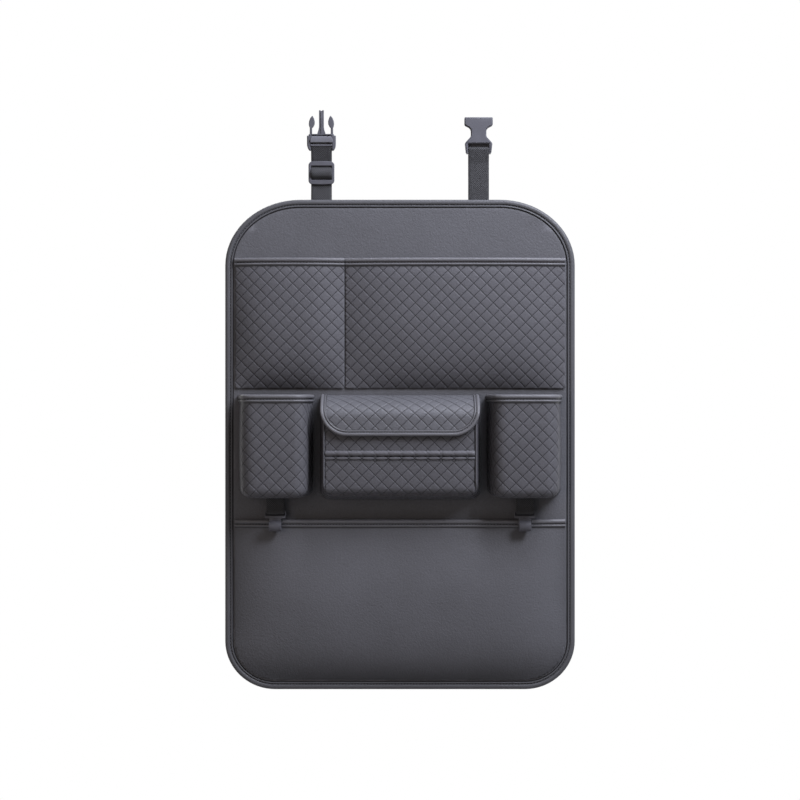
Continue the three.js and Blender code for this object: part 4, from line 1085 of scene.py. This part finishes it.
def hook_set(side, middle):
    """The webbing loop under one cup pouch, and the hook that turns in it."""
    loop = 2.6
    apart = 0.75
    sewn_in = cup_bottom - 0.2
    pinched = hook_axis + 7.4
    path = [(tab_front + apart, sewn_in), (tab_front + apart, pinched)]
    path += arc((tab_front, hook_axis), loop, 12, -192, 22)
    path += [(tab_front - apart, pinched), (tab_front - apart, sewn_in)]
    tab = webbing_piece("hook_loop_" + side, rounded_path(path), middle, 21)
    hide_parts("hook_tab_" + side)
    half = 1.4
    slot = 11
    frame_outline = [(-12.5, 1.6), (12.5, 1.6), (12.5, -5.4)] + arc((10.4, -5.4), 2.1, 0, -90, 5)[1:]
    frame_outline += arc((-10.4, -5.4), 2.1, -90, -180, 5)
    window = [(-slot, 0.9), (slot, 0.9), (slot, -3.4), (-slot, -3.4)]
    plate_part = moulded(frame_outline[::-1], [window], -half, half, 0.7)
    bar = round_bar(-slot - 0.5, slot + 0.5, 0, 0, 1.5)
    bend = (half + 3.5, -16.0)
    outside = arc(bend, 6.6, -180, math.degrees(1.15), 25)
    inside = arc(bend, 3.8, math.degrees(1.05), -180, 21)
    curl = moulded([(-half, -6.4), *outside, *inside, (half, -6.4)], [], -7.35, 7.35, 1.1, sideways=True)
    rib_outline = [(-2.75, -5.2), (2.75, -5.2), (2.75, -7.4), (-2.75, -7.4)]
    rib = moulded(rib_outline, [], -half - 0.5, half + 0.5, 0.4)
    parts = [moved(part, middle, tab_front, hook_axis) for part in (plate_part, bar, curl, rib)]
    plastic_piece("moulded_hook_" + side, parts, "bag_hook_" + side, "hook_" + side)


hook_set("left", -cup_middle)
hook_set("right", cup_middle)

# Tissue pouch
# A box-like pouch of quilted leather between the cups, with tapered sides and bottom and a front in two
# parts with a slit between them. A thin welt is pinched along its front, and the slit's edges are rolled.

gusset_depth = 46
gusset_top = 59
gusset_corner = 12
gusset_wall = 113
gusset_floor = 168
gusset_half = 96
gusset_taper = 6
gusset_low = -66
gusset_rise = 8
floor_gap = 7.5
flap_reach = 49.6
flap_rise = 27
flap_low = 32
flap_end = 10.8
under_flap = 3.6


def gusset_surface(around, deep, height):
    """Sides and bottom of the pouch from the distance down the left side and on round, and the depth."""
    arc_length = gusset_corner * math.pi / 2
    mirror = around > gusset_wall + arc_length + gusset_floor / 2
    total = 2 * (gusset_wall + arc_length) + gusset_floor
    path = np.where(mirror, total - around, around)
    begins = 3
    under = np.clip((path - gusset_wall + begins) / (arc_length + begins), 0, 1)
    deep = deep * (1 - floor_gap / gusset_depth * under ** 2 * (3 - 2 * under))
    share = deep / gusset_depth
    half = gusset_half - gusset_taper * share
    bottom = gusset_low + gusset_rise * share
    wall = gusset_top - bottom - gusset_corner
    turn = np.clip((path - gusset_wall) / gusset_corner, 0, math.pi / 2)
    along = np.clip(path - gusset_wall - arc_length, 0, None) / (gusset_floor / 2) * (half - gusset_corner)
    x = -half + gusset_corner * (1 - np.cos(turn)) + along
    z = gusset_top - np.minimum(path, gusset_wall) / gusset_wall * wall - gusset_corner * np.sin(turn)
    x = x - height * np.cos(turn)
    z = z - height * np.sin(turn)
    return np.column_stack([np.where(mirror, -x, x), face_front + deep, z])


gusset_around = 2 * (gusset_wall + gusset_corner * math.pi / 2) + gusset_floor
end_curve = [(flap_rise - (flap_rise - under_flap) * math.cos(turn), gusset_depth * math.sin(turn))
             for turn in np.linspace(0, math.pi / 2, 12)]
gusset_outline = end_curve + [(gusset_around - around, deep) for around, deep in end_curve[::-1]]
gusset = quilted_piece("quilted_gusset", gusset_outline, gusset_surface, quilted_leather, (3.0, 2.0))
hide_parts("tissue_gusset")

# The welt runs down both sides of the pouch's front and gets thinner towards its lower end.
welt_end = gusset_wall + 10
welt_turns = np.linspace(0, 2 * math.pi, 11)[:-1]
welt_ring = [(0.4 - 1.1 * math.cos(turn), 0.9 * math.sin(turn)) for turn in welt_turns]
welt_parts = []
for side in (-1, 1):
    reach = np.linspace(flap_rise, welt_end, 90)
    ends = np.clip((welt_end - reach) / 8, 0.1, 1)
    around = reach if side < 0 else gusset_around - reach
    rows = [gusset_surface(around, np.full(len(reach), float(gusset_depth)), (0.2 - out) * ends)
            + np.column_stack([0 * ends, (ahead - 0.2) * ends, 0 * ends]) for out, ahead in welt_ring]
    count = len(reach)
    faces = []
    for turn in range(len(rows)):
        for step in range(count - 1):
            low = turn * count + step
            high = (turn + 1) % len(rows) * count + step
            face = (low, high, high + 1, low + 1)
            faces.append(face if side < 0 else face[::-1])
    for step in (0, count - 1):
        end = [turn * count + step for turn in range(len(rows))]
        faces.append(end if (step == 0) == (side < 0) else end[::-1])
    welt_parts.append((np.concatenate(rows), faces, 0))
points, faces, _ = joined(welt_parts)
welt = make_piece("pouch_welt", points, faces, [quilted_leather])
cut_from(gusset, gusset_outline)

face_half = 88.1
face_top = 30.4
face_low = -58.6
face_bend = 8
lip_front = 50.1
lip_height = 7
slit_low = -17.6
slit_high = -7.2
pouch_quilt_middle = (1.6, -20.0)


def pouch_face(x, z, height):
    """The pouch's front, which swells a little between its edges and turns under at its bottom."""
    across = np.clip(1 - (np.abs(x) / face_half) ** 4, 0, 1)
    up = np.clip((z - face_low) / (face_top - face_low), 0, 1)
    swell = 2.0 * across * np.sin(math.pi * up) ** 0.5
    turn = np.clip((face_low + face_bend - z) / face_bend, 0, math.pi / 2)
    front = lip_front + swell - face_bend * (1 - np.cos(turn))
    level = np.where(turn > 0, face_low + face_bend - face_bend * np.sin(turn), z)
    return np.column_stack([x, front + height * np.cos(turn), level - height * np.sin(turn)])


def roll_surface(middle, size, away):
    """A rolled edge across the pouch's front: the leather turns over and back behind itself."""
    def surface(x, roll, height):
        turn = roll / size * math.pi
        flat = pouch_face(x, np.full(len(x), float(middle)), np.zeros(len(x)))
        out = 1.9 + height
        front = flat[:, 1] - 0.3 + out * np.sin(turn)
        z = middle + away * (2.1 + height * 0.6) * np.cos(turn)
        return np.column_stack([x, front, z])
    return surface


lower_corner = 11
cut_low = face_low + face_bend * (1 - math.pi / 2)
lower_face = [(-face_half, slit_low)]
lower_face += arc((lower_corner - face_half, cut_low + lower_corner), lower_corner, 180, 270, 6)
lower_face += [(-x, z) for x, z in lower_face[::-1]]
lower_part = quilted_piece("quilted_face_lower", lower_face, pouch_face, quilted_leather, pouch_quilt_middle)
upper_face = [(-face_half, face_top), (-face_half, slit_high), (face_half, slit_high), (face_half, face_top)]
upper_part = quilted_piece("quilted_face_upper", upper_face, pouch_face, quilted_leather, pouch_quilt_middle)
lip_outline = [(-face_half, 0), (-face_half, lip_height), (face_half, lip_height), (face_half, 0)]
lip_line = [(x, -18.4) for x in np.linspace(-face_half + 1, face_half - 1, 60)]
points, faces = stitched(lip_line, 0, 0.15, pouch_face, False, width=0.55)
lip_stitches = make_piece("lip_stitches", points, faces, [thread_finish])
for part, name, outline, middle, away in ((lower_part, "lower", lower_face, -15.3, -1),
                                          (upper_part, "upper", upper_face, -9.5, 1)):
    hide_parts("tissue_face_" + name)
    lip = quilted_piece(name + "_lip", lip_outline, roll_surface(middle, lip_height, away), quilted_leather,
                        (1.6, lip_height / 2), lambda x, roll: 1.8)
    cut_from(part, outline)

# Flap
# A flap of quilted leather bends out from the panel and down over the pouch, with a narrow stitched
# binding. Two hidden steel magnets hold it shut.

flap_half = 94.5
flap_corner = 32
flap_inset = 1.3
flap_stitch_inset = 4.65
flap_line = []
for turn in np.linspace(0, math.pi / 2, 60):
    flap_line.append((face_front + flap_reach * math.sin(turn), flap_low + flap_rise * math.cos(turn)))
for drop in np.linspace(0, flap_low - flap_end, 20)[1:]:
    flap_line.append((face_front + flap_reach + 0.09 * drop ** 2 / (drop + 8), flap_low - drop))
flap_line = np.array(flap_line)
flap_lengths = running_length(flap_line)
flap_out = path_normals(flap_line, False)
for _ in range(8):
    flap_out[1:-1] = (flap_out[:-2] + 2 * flap_out[1:-1] + flap_out[2:]) / 4
flap_out /= np.linalg.norm(flap_out, axis=1)[:, None]


def flap_surface(x, along, height):
    """The flap from x and the distance along it from the panel, counted downwards as below zero."""
    down = -along
    front = np.interp(down, flap_lengths, flap_line[:, 0])
    z = np.interp(down, flap_lengths, flap_line[:, 1])
    out_front = np.interp(down, flap_lengths, flap_out[:, 0])
    out_z = np.interp(down, flap_lengths, flap_out[:, 1])
    past = np.clip(down - flap_lengths[-1], 0, None)
    return np.column_stack([x, front + height * out_front, z + height * out_z - past])


def flap_edge(inset):
    """Outline of the flap in x and distance along it, moved in from its sides and bottom."""
    half = flap_half - inset
    radius = flap_corner - inset
    low = flap_end + inset
    curve = [(half - radius + radius * math.cos(turn), low + radius - radius * math.sin(turn))
             for turn in np.linspace(0, math.pi / 2, 14)]
    heights = flap_line[::-1, 1]
    right = [(half, 0.0)] + [(x, -float(np.interp(z, heights, flap_lengths[::-1]))) for x, z in curve]
    return right + [(-x, along) for x, along in right[::-1]]


def flap_fade(x, along):
    """Keeps the quilting off the flap's edge, where the binding lies."""
    down = -along
    z = np.interp(down, flap_lengths, flap_line[:, 1])
    side = flap_half - np.abs(x)
    low = z - flap_end
    round_off = flap_corner - np.hypot(flap_corner - side, flap_corner - low)
    distance = np.where((side < flap_corner) & (low < flap_corner), round_off, np.minimum(side, low))
    return np.clip((distance - 5.5) / 1.5, 0, 1)


# The flap's leather is a lighter copy of the quilted leather: painted light for the light that its bend
# catches.
lit_flap_leather = leather_finish("lit_flap_leather", (0.060, 0.060, 0.065), (0.092, 0.092, 0.102), 0.42, gloss=0.16)
flap_outline = flap_edge(flap_inset)
flap = quilted_piece("quilted_flap", flap_outline, flap_surface, lit_flap_leather, (1.6, -40.0), flap_fade)
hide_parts("tissue_flap")
# The band's stitch groove and the gap under its inner edge are marked, so that shadow is painted into them.
flap_section = [
    (6.9, -1.9, 0), (5.0, -2.3, 0), (2.0, -2.3, 0), (0.5, -1.7, 0), (0.0, -0.6, 0), (0.15, 0.4, 0),
    (0.8, 1.2, 0), (1.9, 1.65, 0), (3.1, 1.55, 0), (3.9, 1.0, 0.2), (4.3, 0.5, 0.9), (4.65, 0.3, 1),
    (5.0, 0.55, 0.9), (5.4, 1.0, 0), (6.0, 1.2, 0), (6.5, 0.9, 0.3), (6.8, 0.4, 1), (7.5, 0.3, 1),
    (7.6, -0.3, 1),
]
flap_path = [point for point in filled_in(flap_edge(0), 4) if point[1] < -0.5][::-1]
band = swept(flap_path, [(inset, height) for inset, height, _ in flap_section], flap_surface, False)
row = stitched(flap_path, flap_stitch_inset, 0.45, flap_surface, False, width=0.55, pitch=3.4, length=2.5)
points, faces, finish_of_faces = joined([(*band, 0), (*row, 1)])
flap_band = make_piece("flap_band", points, faces, [hem_leather, thread_finish], finish_of_faces,
                       marks={"pressed_shade": pressed_shade_rows(flap_section, flap_path, points)})
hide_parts("flap_binding")
cut_from(flap, flap_outline)

magnet_steel, nodes, links, shader = new_finish("magnet_steel")
brushed = noise(nodes, 800, 2)
links.new(nodes.new("ShaderNodeTexCoord").outputs["Object"], brushed.inputs["Vector"])
links.new(blend_colours(nodes, links, brushed.outputs["Fac"], (0.42, 0.42, 0.44), (0.62, 0.62, 0.65)),
          shader.inputs["Base Color"])
shader.inputs["Metallic"].default_value = 1
links.new(ranged(nodes, links, brushed.outputs["Fac"], 0.25, 0.4), shader.inputs["Roughness"])
for node in ("flap_magnet", "pouch_magnet"):
    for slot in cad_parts[node].material_slots:
        slot.material = magnet_steel

# Straps
# Two lengths of black twill webbing, sewn to the panel's back with boxed crosses, loop through the two
# buckle halves. The left one also threads through the adjuster.

strap_middle = 94.5
strap_width = 25
strap_front = -0.6
wrap_radius = 2.7
left_bar = 357.6
right_bar = 354.4
strap_end = 246


def around_bar(height):
    """The webbing's turn over a buckle's bar."""
    return arc((strap_front, height), wrap_radius, 0, 180, 14)


# Points of front distance and height along each strap, from its sewn end up and round its bar.
left_path = [(strap_front, strap_end), (strap_front, 294.3), (-2.7, 312.9), (-2.7, 318.6), (3.0, 322.6),
             (3.0, 328.1), (-2.7, 334.6), (-2.7, 340.3), *around_bar(left_bar), (-4.2, 340.3), (-4.2, 332.5),
             (-2.7, 328.9), (-2.7, 323.85), (-2.25, 323.4), (1.05, 323.4), (1.5, 323.85), (1.5, 327.75)]
right_path = [(strap_front, strap_end), (strap_front, 338.4), *around_bar(right_bar),
              (-2.1, 338.4), (-2.1, 322.4)]
left_strap = webbing_piece("left_webbing", rounded_path(left_path, 2.4), -strap_middle, strap_width)
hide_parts("left_strap")
right_strap = webbing_piece("right_webbing", rounded_path(right_path, 3), strap_middle, strap_width)
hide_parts("right_strap")


def strap_back(middle):
    """A surface flat on the back of a strap."""
    def surface(x, z, height):
        back = np.full(len(x), strap_front - webbing_thickness / 2)
        return np.column_stack([middle + x, back - height, z])
    return surface


def box_stitches(name, middle, low, high):
    """A sewn box with a cross inside it, on the back of a strap."""
    half = strap_width / 2 - 2.5
    corners = [(-half, low), (half, low), (half, high), (-half, high)]
    lines = [*zip(corners, corners[1:] + corners[:1]), (corners[0], corners[2]), (corners[1], corners[3])]
    parts = [(*stitched([start, end], 0, 0.1, strap_back(middle), False), 0) for start, end in lines]
    points, faces, _ = joined(parts)
    made = make_piece(name, points, faces, [thread_finish])


for side, middle in (("left", -strap_middle), ("right", strap_middle)):
    box_stitches(side + "_sewn_box", middle, strap_end + 3, strap_end + 34)

# The right strap's free end is sewn to the strap itself below its buckle half.
end_row = [(-10.5, 329), (10.5, 329)]
points, faces = stitched(end_row, 0, 1.6, strap_back(strap_middle), False)
end_stitches = make_piece("right_end_stitches", points, faces, [thread_finish])

# Strap adjuster
# A moulded slider of black plastic with three bars, which the left strap threads through.
# It holds the strap's free end, so that the strap's length can be set.

glide_middle = 326.6


def bulged(half, edge, corner, bulge):
    """A rounded rectangle whose top and bottom swell outwards."""
    quarter = arc((half - corner, edge - corner), corner, 0, 90, 5)
    quarter = [(x, z + bulge * (1 - (x / half) ** 2)) for x, z in quarter]
    quarter += [(x, edge + bulge * (1 - (x / half) ** 2)) for x in np.linspace(half - corner, 0, 7)[1:]]
    upper = quarter + [(-x, z) for x, z in quarter[-2::-1]]
    return upper + [(-x, -z) for x, z in upper]


def slot_outline(half, low, high, corner=0.8):
    """A rounded rectangle between two heights."""
    points = []
    for side, end, start in ((1, high, 0), (-1, high, 90), (-1, low, 180), (1, low, 270)):
        middle = (side * (half - corner), end - corner if end == high else end + corner)
        points += arc(middle, corner, start, start + 90, 3)
    return points


glide_holes = [slot_outline(12.4, 2.3, 8.4)[::-1], slot_outline(12.4, -8.4, -2.3)[::-1]]
glide_half_depth = 1.3
glide_plate = moulded(bulged(15.6, 13.4, 4.2, 0.7), glide_holes, strap_front - glide_half_depth,
                      strap_front + glide_half_depth, 0.9, segments=4)
plastic_piece("slider", [moved(glide_plate, -strap_middle, 0, glide_middle)], "tri_glide")

# Buckle, plug half
# A moulded body with a webbing bar, a centre prong with a rib, and two sprung arms with leaf-shaped
# heads, all one piece of black plastic. The left strap is looped round its bar.

buckle_back = strap_front - 4
buckle_front = strap_front + 4


def plug_half():
    """The plug's parts, at the left strap."""
    ear = [(14.6, 373), (15.2, 372.4), (15.4, 371.2), (17.3, 371), (17.3, 362)]
    ear += [(17.2, 359.5), (16.6, 356.8), (15.4, 354.4), (14.0, 353.2), (12.7, 353.4), (12.7, 362.4)]
    body = ear + [(-x, z) for x, z in ear[::-1]]
    groove = slot_outline(11.6, 370.9, 372.0, 0.4)
    parts = [moulded(body, [groove[::-1]], buckle_back, buckle_front, 1.0, segments=1)]
    step = slot_outline(12.2, 370.0, 372.4, 0.4)
    parts.append(moulded(step, [], buckle_back + 0.3, buckle_back + 2.3, 0.3))
    parts.append(round_bar(-13.6, 13.6, strap_front, left_bar, 1.8))
    keeper = slot_outline(13.3, 358.3, 360.7, 0.5)
    parts.append(moulded(keeper, [], buckle_front - 0.85, buckle_front + 0.2, 0.4))
    back_wall = slot_outline(13.3, 361.0, 363.6, 0.4)
    parts.append(moulded(back_wall, [], buckle_back + 0.2, buckle_back + 2.2, 0.3))
    # A raised ridge across the body's front, from its corners in x, front distance and z.
    ridge = [(-13.2, 1.6, 363.0), (13.2, 1.6, 363.0), (12.8, 1.9, 366.9), (-12.8, 1.9, 366.9),
             (-10.9, 0.3, 370.1), (10.9, 0.3, 370.1), (-13.5, -1.2, 362.6), (13.5, -1.2, 362.6),
             (13.9, -1.2, 367.2), (11.6, -1.2, 370.8), (-11.6, -1.2, 370.8), (-13.9, -1.2, 367.2)]
    ridge = np.array([(x, buckle_front + front, z) for x, front, z in ridge])
    ridge_sides = [(0, 1, 2, 3), (3, 2, 5, 4), (6, 7, 1, 0), (1, 7, 8, 2), (2, 8, 9, 5), (5, 9, 10, 4),
                   (4, 10, 11, 3), (3, 11, 6, 0), (6, 11, 10, 9, 8, 7)]
    parts.append((ridge, ridge_sides))
    prong = [(0.5, 401.1), (1.4, 401.9), (2.4, 402), (2.9, 401.4)]
    prong += [(2.9, 382), (3.5, 378.5), (4.5, 375.2), (5.3, 372)]
    prong += [(-x, z) for x, z in prong[::-1]]
    parts.append(moulded(prong, [], strap_front - 1.8, strap_front + 1.8, 0.5))
    rib = [(0.75, 399.5), (0.8, 385), (1.0, 372.5), (-1.0, 372.5), (-0.8, 385), (-0.75, 399.5)]
    parts.append(moulded(rib, [], strap_front - 2.5, strap_front + 2.5, 0.5))
    for side in (1, -1):
        arm = [(14.1, 372), (14.0, 380.6), (14.7, 382.3), (15.2, 385.2), (14.9, 388.6), (13.6, 392.2),
               (11.2, 395.3), (10.2, 394.6), (8.8, 391.8), (8.0, 388.2), (8.2, 385.0), (9.6, 382.0),
               (11.2, 380.4), (11.2, 372)]
        arm = [(side * x, z) for x, z in arm]
        parts.append(moulded(arm, [], strap_front - 2, strap_front + 2, 0.8))
    return [moved(part, -strap_middle, 0, 0) for part in parts]


plastic_piece("buckle_plug", plug_half(), "male_buckle")

# Buckle, socket half
# A hollow moulded body of black plastic, narrow at its neck where the arms' heads would show, with a
# window for its strap. The right strap is looped round its bar.


def socket_half():
    """The socket's parts, at the right strap."""
    right = [(16.2, 393.2), (17.0, 392.4), (17.0, 384.6), (16.0, 383.2), (11.6, 380.9), (9.8, 378.8),
             (9.3, 376.5), (9.3, 371.6), (9.8, 369.6), (15.8, 362.9), (16.5, 361.4), (15.4, 351.2),
             (14.2, 349.1), (12.9, 349.4), (12.7, 361.4)]
    outline = right + [(-x, z) for x, z in right[::-1]]
    skin = 1.4
    parts = [moulded(outline, [], buckle_front - skin - 1.3, buckle_front, 1.3, segments=1)]
    parts.append(moulded(outline, [], buckle_back, buckle_back + skin + 0.3, 0.75, segments=2))
    for side in (1, -1):
        rail = [(12.8, 349.4), (14.2, 349.1), (15.4, 351.2), (16.5, 361.4), (15.8, 362.9), (9.8, 369.6),
                (7.6, 369.6), (12.6, 362.4)]
        wall = [(15.4, 384.9), (16.9, 384.9), (16.9, 392.6), (15.4, 392.6)]
        for outline in (rail, wall):
            outline = [(side * x, z) for x, z in outline]
            parts.append(moulded(outline, [], buckle_back + 0.6, buckle_front - 0.6, 0.3))
    web = [(-12.8, 362), (12.8, 362), (8.2, 370.2), (-8.2, 370.2)]
    parts.append(moulded(web, [], buckle_back + 0.6, buckle_front - 0.6, 0.3))
    back_wall = slot_outline(13.3, 357.4, 362.4, 0.4)
    parts.append(moulded(back_wall, [], buckle_back + 0.1, buckle_back + 1.5, 0.3))
    parts.append(round_bar(-13.6, 13.6, strap_front, right_bar, 1.8))
    return [moved(part, strap_middle, 0, 0) for part in parts]


plastic_piece("buckle_socket", socket_half(), "female_buckle")
